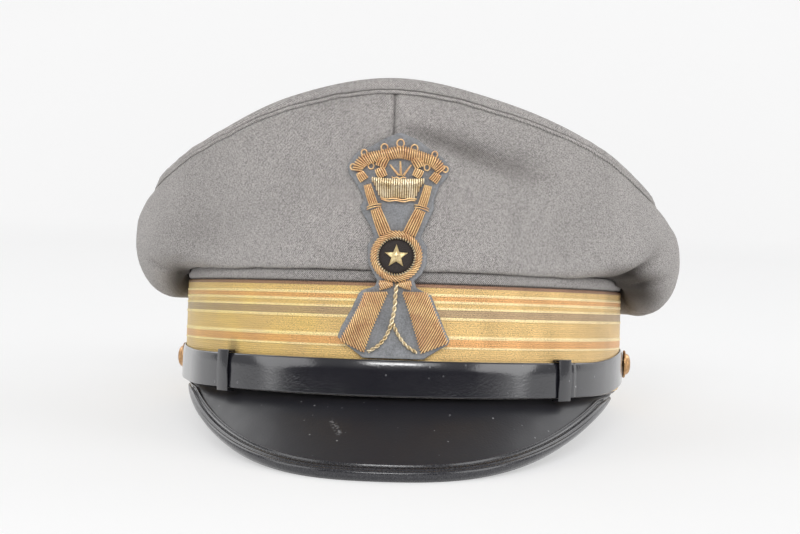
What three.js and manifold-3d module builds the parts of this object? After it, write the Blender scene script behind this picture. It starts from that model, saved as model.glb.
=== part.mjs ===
// An officer's peaked cap lying on a table, built piece by piece as a cap maker sews it.
// Millimetres; left and right are as seen from the front. The cap is modelled square to its own headband (front -Y, up +Z, z = 0 at the
// headband's lower edge) and then tipped back until it rests on its peak and the back of its rim.
import * as THREE from "three";
import { mergeVertices } from "three/addons/utils/BufferGeometryUtils.js";
import Module from "manifold-3d";

const wasm = await Module();
wasm.setup();

// Driving dimensions
const GAP = 0.3; // clearance between neighbouring pieces
const ANGLE_STEP = 7.5; // degrees between sections round the head
const HEAD = { halfWidth: 79.8, halfLength: 100.8 }; // the head opening, a size 57 oval
const HEADBAND = { wall: 2.2, height: 42.5, rollFrom: 38.4, rollOut: 1.1 };
const BRAID = { from: 1.2, to: 38, thickness: 1, edge: 0.3 };
const CLOTH = 1.8; // thickness of the crown's cloth with its interlining
const CROWN_SEAT = { inside: -1.6, lip: 1.6 }; // where the quarters sit on the headband
const WELT = { halfHeight: 0.45, inside: -1.4, proud: 0.6 };
// The wired edge of the top, and how much more of it shows at the sides than at the front.
const RIM = { swell: 1, swellRise: 1.9, crestIn: 1.3, crestRise: 4, sideShare: 0.45 };
const TOP = { centreY: 4, centreZ: 76, sag: 1.5 };
const VISOR = { slope: 32, length: 41.6, thickness: 1.8, endAngle: 81, seat: -1.2, fullness: 3.1 };
const BINDING = { flange: 4, share: 0.45, leather: 0.8, endAngle: 75 };
const STRAP = { from: 0.4, to: 12.4, leather: 1, endAngle: 95 };
// The strap is two lengths, one from each button, that lie double between the slides.
const STRAP_LAP = { angle: 48, riseFrom: -67.5, riseTo: -52.5 };
const STRAP_RISE = { from: 55, to: 95, left: 2, right: 4.4 }; // towards the buttons
const KEEPER = { left: -42.6, right: 43.5, halfAngle: 2, leather: 0.7, overhang: 0.9 };
const BUTTON_ANGLES = { left: -89, right: 89 };
const BUTTON = { radius: 5.4, shank: 1, standOff: 0.35, flange: 1, dome: 3, segments: 20 };
const REST = { tilt: 5.96 }; // degrees that the cap tips back once it lies on its peak

// The crown's outer face in sections round the head. Each row gives, outwards from the headband and
// up from its lower edge: the lowest point of the overhang, the widest point of the bulge, the seam
// with the top, and how far up towards the seam the bulge stays full.
const CROWN_SECTIONS = [
  { angle: -157.5, underOut: 10.5, underZ: 33, bellyOut: 19.5, bellyZ: 47.5, seamOut: 16, seamZ: 61, full: 0.75 },
  { angle: -135, underOut: 11, underZ: 31.5, bellyOut: 22, bellyZ: 48, seamOut: 16, seamZ: 62, full: 0.8 },
  { angle: -112.5, underOut: 11, underZ: 30.5, bellyOut: 24, bellyZ: 50, seamOut: 15.5, seamZ: 64.5, full: 0.85 },
  { angle: -90, underOut: 10, underZ: 31, bellyOut: 24.2, bellyZ: 52, seamOut: 15, seamZ: 68, full: 0.95 },
  { angle: -67.5, underOut: 5, underZ: 38, bellyOut: 16, bellyZ: 52, seamOut: 12.8, seamZ: 71.6, full: 0.85 },
  { angle: -45, underOut: 2.2, underZ: 42, bellyOut: 5, bellyZ: 46, seamOut: 10.5, seamZ: 81, full: 0.6 },
  { angle: -22.5, underOut: 2, underZ: 42.2, bellyOut: 3.4, bellyZ: 44.8, seamOut: 8, seamZ: 95.4, full: 0.55 },
  { angle: 0, underOut: 2, underZ: 42.2, bellyOut: 3.2, bellyZ: 44.6, seamOut: 7, seamZ: 101, full: 0.55 },
  { angle: 22.5, underOut: 2, underZ: 42.2, bellyOut: 3.4, bellyZ: 44.8, seamOut: 8, seamZ: 95.2, full: 0.55 },
  { angle: 45, underOut: 2.2, underZ: 42, bellyOut: 5, bellyZ: 46, seamOut: 10.5, seamZ: 84, full: 0.6 },
  { angle: 67.5, underOut: 5, underZ: 38, bellyOut: 16, bellyZ: 51, seamOut: 12.4, seamZ: 72.8, full: 0.85 },
  { angle: 90, underOut: 10, underZ: 30.5, bellyOut: 24, bellyZ: 49, seamOut: 14.4, seamZ: 66.8, full: 0.95 },
  { angle: 112.5, underOut: 11, underZ: 30, bellyOut: 24, bellyZ: 48, seamOut: 15.5, seamZ: 64, full: 0.85 },
  { angle: 135, underOut: 11, underZ: 31.5, bellyOut: 22, bellyZ: 48, seamOut: 16, seamZ: 62, full: 0.8 },
  { angle: 157.5, underOut: 10.5, underZ: 33, bellyOut: 19.5, bellyZ: 47.5, seamOut: 16, seamZ: 61, full: 0.75 },
  { angle: 180, underOut: 10, underZ: 34, bellyOut: 18, bellyZ: 47, seamOut: 16, seamZ: 60.5, full: 0.7 },
];

// The badge, sewn on the front. Across is measured from the badge's own axis, height as on the cap.
const BADGE = { axisX: 2, felt: 1.2, clearance: 0.4, footZ: 13, footOut: 1.7, columns: 8 };
const FELT_OUTLINE = [
  { z: 13.4, half: 9.8 },
  { z: 16.2, half: 15.2 },
  { z: 19, half: 18.8 },
  { z: 26.5, half: 15.4 },
  { z: 34.6, half: 11.6 },
  { z: 36, half: 6.8 },
  { z: 40, half: 7.8 },
  { z: 44.6, half: 9.6 },
  { z: 50.4, half: 10 },
  { z: 53.4, half: 7.4 },
  { z: 62.8, half: 11.8 },
  { z: 65.5, half: 11.7 },
  { z: 72, half: 14.2 },
  { z: 75.8, half: 17.3 },
  { z: 79.6, half: 15.2 },
  { z: 82, half: 10.4 },
  { z: 85, half: 6 },
  { z: 87.4, half: 1.4 },
];
// Profiles across a padded shape turned about the badge's axis: [radius, lift off the felt].
const ROUNDEL = { z: 46.8, steps: 24 };
const DISC_PROFILE = [[0, 0], [0, 0.9], [4, 0.85], [5.8, 0.5], [6, 0]];
const RING_PROFILE = [[6.3, 0], [6.3, 0.9], [7.2, 1.6], [8.2, 1.4], [8.8, 0.6], [8.8, 0]];
const STAR = { points: 5, outer: 4.2, inner: 1.8, base: 1.2, lift: 0.9 };
const LOOP_PROFILE = [[0.7, 0], [0.9, 0.7], [1.5, 0.8], [1.8, 0]];
// Couched metal-thread work laid over padding. Each row is a place along a shape's middle line,
// with half its width there and how far it stands off the felt.
const STAVE = [
  { across: 4.4, z: 55.8, half: 2.2, lift: 1.2 },
  { across: 6, z: 58.8, half: 2.1, lift: 1.4 },
  { across: 7.6, z: 62, half: 1.9, lift: 1.2 },
];
const STAVE_TIP = [
  { across: 8, z: 63.1, half: 1.7, lift: 1 },
  { across: 9, z: 66.4, half: 1.4, lift: 1.2 },
  { across: 10, z: 69.6, half: 1.1, lift: 0.9 },
];
const TAIL = [
  { across: 6.1, z: 33.9, half: 3.3, lift: 0.9 },
  { across: 8.2, z: 29, half: 4, lift: 1.2 },
  { across: 11, z: 22.6, half: 4.6, lift: 1.2 },
  { across: 13.2, z: 17.6, half: 4.8, lift: 0.9 },
];
const TIE = [
  { across: 1.6, z: 36.8, half: 1, lift: 0.9 },
  { across: 3.6, z: 37, half: 1.5, lift: 1.1 },
  { across: 5.6, z: 37.4, half: 1, lift: 0.9 },
];
const ARCH = [
  { across: -13, z: 73.6, half: 1.5, lift: 1 },
  { across: -12.2, z: 76.8, half: 1.8, lift: 1.3 },
  { across: -8.4, z: 79.7, half: 1.8, lift: 1.4 },
  { across: -4.2, z: 80.6, half: 1.8, lift: 1.5 },
  { across: 0, z: 81, half: 1.8, lift: 1.5 },
  { across: 4.2, z: 80.6, half: 1.8, lift: 1.5 },
  { across: 8.4, z: 79.7, half: 1.8, lift: 1.4 },
  { across: 12.2, z: 76.8, half: 1.8, lift: 1.3 },
  { across: 13, z: 73.6, half: 1.5, lift: 1 },
];
const ARCH_LEG = [
  { across: 3.6, z: 77.2, half: 1.2, lift: 1.1 },
  { across: 5.6, z: 75.8, half: 1.4, lift: 1.3 },
  { across: 6.4, z: 73.6, half: 1.2, lift: 1 },
];
const BASKET = [
  { across: 0, z: 72, half: 8.4, lift: 1 },
  { across: 0, z: 70.2, half: 7.6, lift: 2 },
  { across: 0, z: 68, half: 6.6, lift: 2.2 },
  { across: 0, z: 65.8, half: 5.6, lift: 1.2 },
];
const CORD = [
  { across: 0, z: 36.2, half: 0.8, lift: 1 },
  { across: -0.5, z: 30.5, half: 0.8, lift: 1.1 },
  { across: -0.9, z: 25.5, half: 0.8, lift: 1.1 },
];
const CORD_END = [
  { across: 1, z: 23.9, half: 0.7, lift: 1 },
  { across: 2.6, z: 20.4, half: 0.7, lift: 1 },
  { across: 6, z: 15.9, half: 0.7, lift: 0.9 },
];
const LOOPS = [
  { across: 4.6, z: 84.6 },
  { across: 10.2, z: 83 },
  { across: 15.4, z: 77.6 },
];

const MATERIALS = {
  cloth: { color: 0x8f8f8b, roughness: 0.95, metalness: 0 },
  braid: { color: 0xc9a45a, roughness: 0.45, metalness: 0.7 },
  patent: { color: 0x17171a, roughness: 0.12, metalness: 0 },
  felt: { color: 0x7d868d, roughness: 0.95, metalness: 0 },
  bullion: { color: 0xc08a48, roughness: 0.4, metalness: 0.8 },
  gilt: { color: 0xe0c078, roughness: 0.3, metalness: 0.9 },
  enamel: { color: 0x231f20, roughness: 0.6, metalness: 0 },
};

const radians = THREE.MathUtils.degToRad;
const headbandOval = {
  halfWidth: HEAD.halfWidth + HEADBAND.wall,
  halfLength: HEAD.halfLength + HEADBAND.wall,
};

// A point on the headband's outer oval, moved outwards by `out`. The angle runs from the front.
function ovalPoint(angle, out, z) {
  const { halfWidth, halfLength } = headbandOval;
  const turn = radians(angle);
  const normal = new THREE.Vector2(Math.sin(turn) / halfWidth, -Math.cos(turn) / halfLength).normalize();
  const x = halfWidth * Math.sin(turn) + out * normal.x;
  const y = -halfLength * Math.cos(turn) + out * normal.y;
  return new THREE.Vector3(x, y, z);
}

// The angles from one to another that share the common grid, so that nested rings stay parallel.
function anglesBetween(from, to) {
  const angles = [from];
  for (let a = Math.ceil((from + 0.01) / ANGLE_STEP) * ANGLE_STEP; a < to - 0.01; a += ANGLE_STEP) {
    angles.push(a);
  }
  angles.push(to);
  return angles;
}

function anglesAllRound() {
  return anglesBetween(-180, 180).slice(0, -1);
}

// A row of CROWN_SECTIONS at any angle, by a Catmull-Rom curve through the table's rows.
function crownRow(angle) {
  const count = CROWN_SECTIONS.length;
  const spacing = 360 / count;
  const place = (angle - CROWN_SECTIONS[0].angle) / spacing;
  const first = Math.floor(place);
  const t = place - first;
  const rowAt = (i) => CROWN_SECTIONS[((i % count) + count) % count];
  const around = [-1, 0, 1, 2].map((step) => rowAt(first + step));
  const row = {};
  for (const key of Object.keys(CROWN_SECTIONS[0])) {
    const [a, b, c, d] = around.map((r) => r[key]);
    const slopeB = (c - a) / 2;
    const slopeC = (d - b) / 2;
    const t2 = t * t;
    const t3 = t2 * t;
    row[key] = (2 * t3 - 3 * t2 + 1) * b + (t3 - 2 * t2 + t) * slopeB;
    row[key] += (3 * t2 - 2 * t3) * c + (t3 - t2) * slopeC;
  }
  return row;
}

// A solid swept through sections, each a loop of points: a ring, or a length with flat ends.
function sweptSolid(sections, isRing) {
  const around = sections[0].length;
  const position = sections.flatMap((loop) => loop.flatMap((p) => [p.x, p.y, p.z]));
  const index = [];
  const quad = (a, b, c, d) => index.push(a, b, c, a, c, d);
  const steps = isRing ? sections.length : sections.length - 1;
  for (let i = 0; i < steps; i++) {
    const here = i * around;
    const next = ((i + 1) % sections.length) * around;
    for (let j = 0; j < around; j++) {
      const k = (j + 1) % around;
      quad(here + j, next + j, next + k, here + k);
    }
  }
  if (!isRing) {
    const last = (sections.length - 1) * around;
    for (let j = 0; j < around / 2 - 1; j++) {
      const far = around - 1 - j;
      quad(j, j + 1, far - 1, far);
      quad(last + j, last + far, last + far - 1, last + j + 1);
    }
  }
  return closedSolid(position, index);
}

function closedSolid(position, index) {
  const geometry = new THREE.BufferGeometry();
  geometry.setAttribute("position", new THREE.Float32BufferAttribute(position, 3));
  geometry.setIndex(index);
  return facingOut(withoutSlivers(welded(geometry)));
}

// Joins points that share a place, whatever their shading.
function welded(geometry) {
  const plain = geometry.clone();
  plain.deleteAttribute("normal");
  plain.deleteAttribute("uv");
  return mergeVertices(plain, 1e-4);
}

// Leaves out the triangles that collapsed where points of a sweep meet, as at a pole.
function withoutSlivers(geometry) {
  const index = Array.from(geometry.index.array);
  const kept = [];
  for (let i = 0; i < index.length; i += 3) {
    const [a, b, c] = index.slice(i, i + 3);
    if (a !== b && b !== c && c !== a) kept.push(a, b, c);
  }
  geometry.setIndex(kept);
  return geometry;
}

// Turns the faces outwards if the enclosed volume comes out negative.
function facingOut(geometry) {
  const position = geometry.attributes.position;
  const index = Array.from(geometry.index.array);
  const corner = (i) => new THREE.Vector3().fromBufferAttribute(position, index[i]);
  let volume = 0;
  for (let i = 0; i < index.length; i += 3) {
    volume += corner(i).dot(corner(i + 1).cross(corner(i + 2))) / 6;
  }
  if (volume < 0) geometry.setIndex(index.reverse());
  geometry.computeVertexNormals();
  return geometry;
}

function piece(name, geometry, finish) {
  const mesh = new THREE.Mesh(geometry, new THREE.MeshStandardMaterial(MATERIALS[finish]));
  mesh.name = name;
  return mesh;
}

// A ring or a length of constant cross-section round the head; profile rows are [out, z].
function bentRound(profile, angles, isRing) {
  const sections = angles.map((angle) => profile.map(([out, z]) => ovalPoint(angle, out, z)));
  return sweptSolid(sections, isRing);
}

function headband() {
  const { wall, height, rollFrom, rollOut } = HEADBAND;
  const rollMiddle = (rollFrom + height) / 2;
  const profile = [
    [0, 0],
    [0, rollFrom],
    [rollOut * 0.75, rollFrom + 0.4],
    [rollOut, rollMiddle],
    [rollOut * 0.7, height - 0.6],
    [0, height],
    [-wall, height],
    [-wall, 0],
  ];
  return bentRound(profile, anglesAllRound(), true);
}

function braid() {
  const { from, to, thickness, edge } = BRAID;
  const face = GAP + thickness;
  const profile = [
    [GAP, from],
    [face - edge, from],
    [face, from + edge],
    [face, to - edge],
    [face - edge, to],
    [GAP, to],
  ];
  return bentRound(profile, anglesAllRound(), true);
}

// Part of an ellipse between two places, leaving one upright and reaching the other level, or back.
function quarterArc(from, to, leavesUpright, steps) {
  const points = [];
  for (let i = 1; i <= steps; i++) {
    const turn = (Math.PI / 2) * (i / steps);
    const easeIn = 1 - Math.cos(turn);
    const easeOut = Math.sin(turn);
    const across = leavesUpright ? easeIn : easeOut;
    const up = leavesUpright ? easeOut : easeIn;
    points.push([from[0] + (to[0] - from[0]) * across, from[1] + (to[1] - from[1]) * up]);
  }
  return points;
}

// One face of a quarter, from its seat on the headband out under the overhang and up to the seam.
function quarterFace({ seat, lip, under, belly, seam, full }) {
  const shoulder = new THREE.Vector2(belly[0], belly[1] + full * (seam[1] - belly[1]));
  const rise = new THREE.QuadraticBezierCurve(new THREE.Vector2(...belly), shoulder, new THREE.Vector2(...seam));
  const upper = rise.getPoints(6).slice(1);
  return [
    seat,
    lip,
    ...quarterArc(lip, under, true, 3),
    ...quarterArc(under, belly, false, 3),
    ...upper.map((p) => [p.x, p.y]),
  ];
}

function crownFaceEnds(angle) {
  const row = crownRow(angle);
  return {
    under: [row.underOut, row.underZ],
    belly: [row.bellyOut, row.bellyZ],
    seam: [row.seamOut, row.seamZ - WELT.halfHeight - GAP],
    full: row.full,
  };
}

function quarterSection(angle) {
  const { under, belly, seam, full } = crownFaceEnds(angle);
  const seatZ = HEADBAND.height + GAP;
  const outer = quarterFace({
    seat: [CROWN_SEAT.inside, seatZ],
    lip: [CROWN_SEAT.lip, seatZ],
    under,
    belly,
    seam,
    full,
  });
  const insideBelly = belly[0] - CLOTH;
  const inner = quarterFace({
    seat: [CROWN_SEAT.inside, seatZ + CLOTH],
    lip: [Math.min(CROWN_SEAT.lip + CLOTH, insideBelly - 0.3), seatZ + CLOTH - 0.1],
    under: [Math.min(under[0], insideBelly - 0.15), under[1] + CLOTH],
    belly: [insideBelly, belly[1] + 0.6],
    seam: [seam[0] - CLOTH, seam[1]],
    full,
  });
  return [...outer, ...inner.reverse()].map(([out, z]) => ovalPoint(angle, out, z));
}

// One of the four quarters of the crown's side, a seam gap short of its neighbours.
function quarter(from, to) {
  const seamGap = 0.12; // degrees on each side of a seam
  return sweptSolid(anglesBetween(from + seamGap, to - seamGap).map(quarterSection), false);
}

function welt() {
  const sections = anglesAllRound().map((angle) => {
    const { seamOut, seamZ } = crownRow(angle);
    const inside = seamOut + WELT.inside;
    const outside = seamOut + WELT.proud;
    return [
      ovalPoint(angle, inside, seamZ - WELT.halfHeight),
      ovalPoint(angle, outside - 0.4, seamZ - WELT.halfHeight),
      ovalPoint(angle, outside, seamZ),
      ovalPoint(angle, outside - 0.4, seamZ + WELT.halfHeight),
      ovalPoint(angle, inside, seamZ + WELT.halfHeight),
    ];
  });
  return sweptSolid(sections, true);
}

// The top: a wired rim that swells over the welt, and cloth stretched across it like a saddle.
function top() {
  const rings = [0.96, 0.88, 0.74, 0.55, 0.3, 0];
  const sections = anglesAllRound().map((angle) => {
    const { seamOut, seamZ } = crownRow(angle);
    const foot = seamZ + WELT.halfHeight + GAP;
    const crestRise = RIM.crestRise * (1 + RIM.sideShare * Math.sin(radians(angle)) ** 2);
    const crestZ = foot + crestRise;
    const face = (inset) => {
      const edge = [
        ovalPoint(angle, seamOut - inset, foot),
        ovalPoint(angle, seamOut + RIM.swell - inset, foot + RIM.swellRise),
        ovalPoint(angle, seamOut + RIM.swell * 0.2 - inset, foot + crestRise * 0.86 - inset * 0.5),
      ];
      const crest = ovalPoint(angle, seamOut - RIM.crestIn - inset * 0.4, crestZ - inset);
      const stretched = rings.map((share) => {
        const z = TOP.centreZ + (crestZ - TOP.centreZ) * share ** TOP.sag - inset;
        const y = TOP.centreY + (crest.y - TOP.centreY) * share;
        return new THREE.Vector3(crest.x * share, y, z);
      });
      return [...edge, crest, ...stretched];
    };
    return [...face(0), ...face(CLOTH).reverse()];
  });
  return sweptSolid(sections, true);
}

// The peak is a curved sheet: the front of the head oval carried forwards and down.
function visorPoint(angle, along, lift) {
  const slope = radians(VISOR.slope);
  const turn = radians(angle);
  const run = new THREE.Vector3(0, -Math.cos(slope), -Math.sin(slope));
  const halfWidth = headbandOval.halfWidth + VISOR.seat;
  const halfLength = headbandOval.halfLength + VISOR.seat;
  const side = new THREE.Vector3(halfWidth * Math.cos(turn), halfLength * Math.sin(turn), 0);
  const normal = new THREE.Vector3().crossVectors(run, side).normalize();
  const root = new THREE.Vector3(halfWidth * Math.sin(turn), -halfLength * Math.cos(turn), -GAP);
  return root.addScaledVector(run, along).addScaledVector(normal, lift);
}

function visorReach(angle) {
  const share = Math.abs(Math.sin(radians(angle)) / Math.sin(radians(VISOR.endAngle)));
  return Math.max(0.6, VISOR.length * (1 - share ** VISOR.fullness));
}

function visor() {
  const rows = [0, 0.2, 0.45, 0.7, 0.88, 1];
  const sections = anglesBetween(-VISOR.endAngle, VISOR.endAngle).map((angle) => {
    const reach = visorReach(angle);
    const upper = rows.map((share) => visorPoint(angle, reach * share, 0));
    const lower = rows.map((share) => visorPoint(angle, reach * share, -VISOR.thickness));
    return [...upper, ...lower.reverse()];
  });
  return sweptSolid(sections, false);
}

// The binding is a strip of leather folded over the peak's edge, narrower where the peak runs out.
function visorBinding() {
  const sections = anglesBetween(-BINDING.endAngle, BINDING.endAngle).map((angle) => {
    const edge = visorPoint(angle, visorReach(angle), 0);
    const ahead = visorPoint(angle + 0.5, visorReach(angle + 0.5), 0);
    const behind = visorPoint(angle - 0.5, visorReach(angle - 0.5), 0);
    const along = ahead.sub(behind).normalize();
    const up = visorPoint(angle, 0, 1).sub(visorPoint(angle, 0, 0)).normalize();
    const outwards = new THREE.Vector3().crossVectors(along, up).normalize();
    const flange = Math.min(BINDING.flange, visorReach(angle) * BINDING.share);
    return bindingProfile(flange).map(([s, n]) => edge.clone().addScaledVector(outwards, s).addScaledVector(up, n));
  });
  return sweptSolid(sections, false);
}

// Out over the edge along the outer face, then back along the inner one.
function bindingProfile(flange) {
  const over = GAP + BINDING.leather;
  const below = -VISOR.thickness;
  return [
    [-flange, over - 0.3],
    [-flange * 0.4, over + 0.1],
    [over * 0.7, over * 0.7],
    [over + 0.2, below / 2],
    [over * 0.7, below - over * 0.7],
    [-flange * 0.4, below - over - 0.1],
    [-flange, below - over + 0.3],
    [-flange, below - GAP],
    [-flange * 0.4, below - GAP],
    [GAP, below - GAP],
    [GAP, below / 2],
    [GAP, GAP],
    [-flange * 0.4, GAP],
    [-flange, GAP],
  ];
}

// How far a length of the strap stands off: on the braid, or over the other length past the slide.
function strapFace(angle, isOver) {
  const onBraid = GAP + BRAID.thickness + GAP;
  const lapped = THREE.MathUtils.smoothstep(angle, STRAP_LAP.riseFrom, STRAP_LAP.riseTo);
  return onBraid + (isOver ? lapped * (STRAP.leather + GAP) : 0);
}

function strapRise(angle) {
  const most = angle < 0 ? STRAP_RISE.left : STRAP_RISE.right;
  return most * THREE.MathUtils.smoothstep(Math.abs(angle), STRAP_RISE.from, STRAP_RISE.to);
}

function strapLength(from, to, isOver) {
  const sections = anglesBetween(from, to).map((angle) => {
    const inner = strapFace(angle, isOver);
    const face = inner + STRAP.leather;
    const profile = [
      [face - 0.3, STRAP.from],
      [face, STRAP.from + 0.8],
      [face, STRAP.to - 0.8],
      [face - 0.3, STRAP.to],
      [inner, STRAP.to],
      [inner, STRAP.to - 0.8],
      [inner, STRAP.from + 0.8],
      [inner, STRAP.from],
    ];
    return profile.map(([out, z]) => ovalPoint(angle, out, z + strapRise(angle)));
  });
  return sweptSolid(sections, false);
}

// A slide is a flat leather loop, sewn to the braid above and below both lengths of the strap.
function keeper(angle) {
  const { halfAngle, leather, overhang } = KEEPER;
  const inside = GAP + BRAID.thickness + GAP;
  const face = inside + 2 * STRAP.leather + 2 * GAP;
  const low = STRAP.from - GAP;
  const high = STRAP.to + GAP;
  const middle = (low + high) / 2;
  const profile = [
    [inside, low - overhang],
    [face + leather - 0.3, low - overhang],
    [face + leather, middle],
    [face + leather - 0.3, high + overhang],
    [inside, high + overhang],
    [inside, high],
    [face, high],
    [face, middle],
    [face, low],
    [inside, low],
  ];
  return bentRound(profile, [angle - halfAngle, angle, angle + halfAngle], false);
}

// A domed button on a shank, set square to the cap's side; the shank ends short of the braid.
function button(angle) {
  const { radius, shank, flange, dome, segments } = BUTTON;
  const foot = strapFace(angle, false);
  const seat = foot + STRAP.leather + BUTTON.standOff;
  const profile = [
    [0, foot],
    [shank, foot],
    [shank, seat],
    [radius - 0.5, seat],
    [radius, seat + flange / 2],
    [radius - 0.4, seat + flange],
    [radius * 0.72, seat + dome * 0.72],
    [radius * 0.38, seat + dome * 0.94],
    [0, seat + dome],
  ];
  const turned = new THREE.LatheGeometry(profile.map(([r, h]) => new THREE.Vector2(r, h)), segments);
  return facingOut(withoutSlivers(welded(squareToStrap(turned, angle))));
}

// Turns a shape that stands on +Y to stand square on the middle of the strap.
function squareToStrap(geometry, angle) {
  const base = ovalPoint(angle, 0, (STRAP.from + STRAP.to) / 2 + strapRise(angle));
  const normal = ovalPoint(angle, 1, base.z).sub(base);
  const turn = new THREE.Quaternion().setFromUnitVectors(new THREE.Vector3(0, 1, 0), normal);
  return geometry.applyQuaternion(turn).translate(base.x, base.y, base.z);
}

// A solid with a hole punched through it for a button's shank.
function punched(geometry, angle) {
  const hole = new THREE.CylinderGeometry(BUTTON.shank + GAP, BUTTON.shank + GAP, 12, 12);
  return fromManifold(toManifold(geometry).subtract(toManifold(squareToStrap(hole, angle))));
}

function toManifold(geometry) {
  const plain = welded(geometry);
  return new wasm.Manifold(
    new wasm.Mesh({
      numProp: 3,
      vertProperties: new Float32Array(plain.attributes.position.array),
      triVerts: new Uint32Array(plain.index.array),
    }),
  );
}

function fromManifold(solid) {
  const mesh = solid.getMesh();
  const geometry = new THREE.BufferGeometry();
  geometry.setAttribute("position", new THREE.Float32BufferAttribute(mesh.vertProperties, 3));
  geometry.setIndex(Array.from(mesh.triVerts));
  geometry.computeVertexNormals();
  return geometry;
}

// How far the crown's cloth stands out at a height, in the middle of the front.
function crownFaceOut(angle, z) {
  const { belly, seam, full } = crownFaceEnds(angle);
  const controlZ = belly[1] + full * (seam[1] - belly[1]);
  const curve = new THREE.QuadraticBezierCurve(
    new THREE.Vector2(...belly),
    new THREE.Vector2(belly[0], controlZ),
    new THREE.Vector2(...seam),
  );
  let near = 0;
  let far = 1;
  for (let i = 0; i < 20; i++) {
    const middle = (near + far) / 2;
    if (curve.getPoint(middle).y < z) near = middle;
    else far = middle;
  }
  return curve.getPoint(near).x;
}

// The badge hangs stiffly from the fold of the crown down over the braid.
function badgeSeat(angle, z) {
  const { belly } = crownFaceEnds(angle);
  const { clearance, footZ, footOut } = BADGE;
  if (z >= belly[1]) return crownFaceOut(angle, z) + clearance;
  return THREE.MathUtils.mapLinear(z, footZ, belly[1], footOut, belly[0] + clearance);
}

function badgePoint(across, z, lift) {
  const { halfWidth, halfLength } = headbandOval;
  const nominalOut = 5;
  const reach = halfWidth + (nominalOut * halfLength) / halfWidth;
  const angle = THREE.MathUtils.radToDeg(Math.asin((BADGE.axisX + across) / reach));
  return ovalPoint(angle, badgeSeat(angle, z) + lift, z);
}

function badgeFelt() {
  const { columns, felt } = BADGE;
  const sections = FELT_OUTLINE.map(({ z, half }) => {
    const shares = Array.from({ length: columns + 1 }, (_, i) => (2 * i) / columns - 1);
    const front = shares.map((share) => badgePoint(half * share, z, felt));
    const back = shares.map((share) => badgePoint(half * share, z, 0));
    return [...front, ...back.reverse()];
  });
  return sweptSolid(sections, false);
}

// A place on the badge's embroidery, lifted off the face of the felt.
function overFelt(across, z, lift) {
  return badgePoint(across, z, BADGE.felt + GAP + lift);
}

// A padded shape turned about its own middle on the badge.
function paddedRound(profile, across, z, steps) {
  const sections = Array.from({ length: steps }, (_, i) => {
    const turn = (2 * Math.PI * i) / steps;
    return profile.map(([r, lift]) => overFelt(across + r * Math.cos(turn), z + r * Math.sin(turn), lift));
  });
  return sweptSolid(sections, true);
}

function star() {
  const { points, outer, inner, base, lift } = STAR;
  const sections = Array.from({ length: points * 2 }, (_, i) => {
    const turn = (Math.PI * i) / points + Math.PI / 2;
    const r = i % 2 === 0 ? outer : inner;
    const place = (share, h) => overFelt(r * share * Math.cos(turn), ROUNDEL.z + r * share * Math.sin(turn), h);
    return [place(0, base), place(0, base + lift), place(1, base + lift * 0.35), place(1, base)];
  });
  return sweptSolid(sections, true);
}

// A padded shape that follows a middle line; mirrored for the badge's other side with side = -1.
function padded(rows, side = 1) {
  const shares = [-1, -0.75, 0, 0.75, 1];
  const domed = [0.45, 0.85, 1, 0.85, 0.45];
  const sections = rows.map((row, i) => {
    const before = rows[Math.max(i - 1, 0)];
    const after = rows[Math.min(i + 1, rows.length - 1)];
    const line = new THREE.Vector2(after.across - before.across, after.z - before.z).normalize();
    const place = (share, lift) => {
      const across = row.across - line.y * row.half * share;
      return overFelt(side * across, row.z + line.x * row.half * share, lift);
    };
    const front = shares.map((share, j) => place(share, row.lift * domed[j]));
    const back = shares.map((share) => place(share, 0));
    return [...front, ...back.reverse()];
  });
  return sweptSolid(sections, false);
}

const pieces = [
  piece("headband", headband(), "cloth"),
  piece("gold_braid", braid(), "braid"),
  piece("quarter_front_left", quarter(-90, 0), "cloth"),
  piece("quarter_front_right", quarter(0, 90), "cloth"),
  piece("quarter_back_right", quarter(90, 180), "cloth"),
  piece("quarter_back_left", quarter(-180, -90), "cloth"),
  piece("crown_welt", welt(), "cloth"),
  piece("crown_top", top(), "cloth"),
  piece("visor", visor(), "patent"),
  piece("visor_binding", visorBinding(), "patent"),
  piece("strap_under", punched(strapLength(-STRAP_LAP.angle, STRAP.endAngle, false), BUTTON_ANGLES.right), "patent"),
  piece("strap_over", punched(strapLength(-STRAP.endAngle, STRAP_LAP.angle, true), BUTTON_ANGLES.left), "patent"),
  piece("keeper_left", keeper(KEEPER.left), "patent"),
  piece("keeper_right", keeper(KEEPER.right), "patent"),
  piece("button_left", button(BUTTON_ANGLES.left), "gilt"),
  piece("button_right", button(BUTTON_ANGLES.right), "gilt"),
  piece("badge_felt", badgeFelt(), "felt"),
  piece("roundel_disc", paddedRound(DISC_PROFILE, 0, ROUNDEL.z, ROUNDEL.steps), "enamel"),
  piece("roundel_ring", paddedRound(RING_PROFILE, 0, ROUNDEL.z, ROUNDEL.steps), "bullion"),
  piece("roundel_star", star(), "gilt"),
  piece("coronet_arch", padded(ARCH), "bullion"),
  piece("coronet_basket", padded(BASKET), "gilt"),
  piece("badge_cord", padded(CORD), "gilt"),
  piece("badge_cord_end", padded(CORD_END), "gilt"),
];
for (const [name, side] of [["left", -1], ["right", 1]]) {
  pieces.push(piece(`arch_leg_${name}`, padded(ARCH_LEG, side), "bullion"));
  pieces.push(piece(`stave_${name}`, padded(STAVE, side), "bullion"));
  pieces.push(piece(`stave_tip_${name}`, padded(STAVE_TIP, side), "bullion"));
  pieces.push(piece(`tail_${name}`, padded(TAIL, side), "bullion"));
  pieces.push(piece(`tie_${name}`, padded(TIE, side), "gilt"));
  LOOPS.forEach(({ across, z }, i) => {
    const loop = paddedRound(LOOP_PROFILE, side * across, z, 10);
    pieces.push(piece(`coronet_loop_${name}_${i + 1}`, loop, "gilt"));
  });
}

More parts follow.
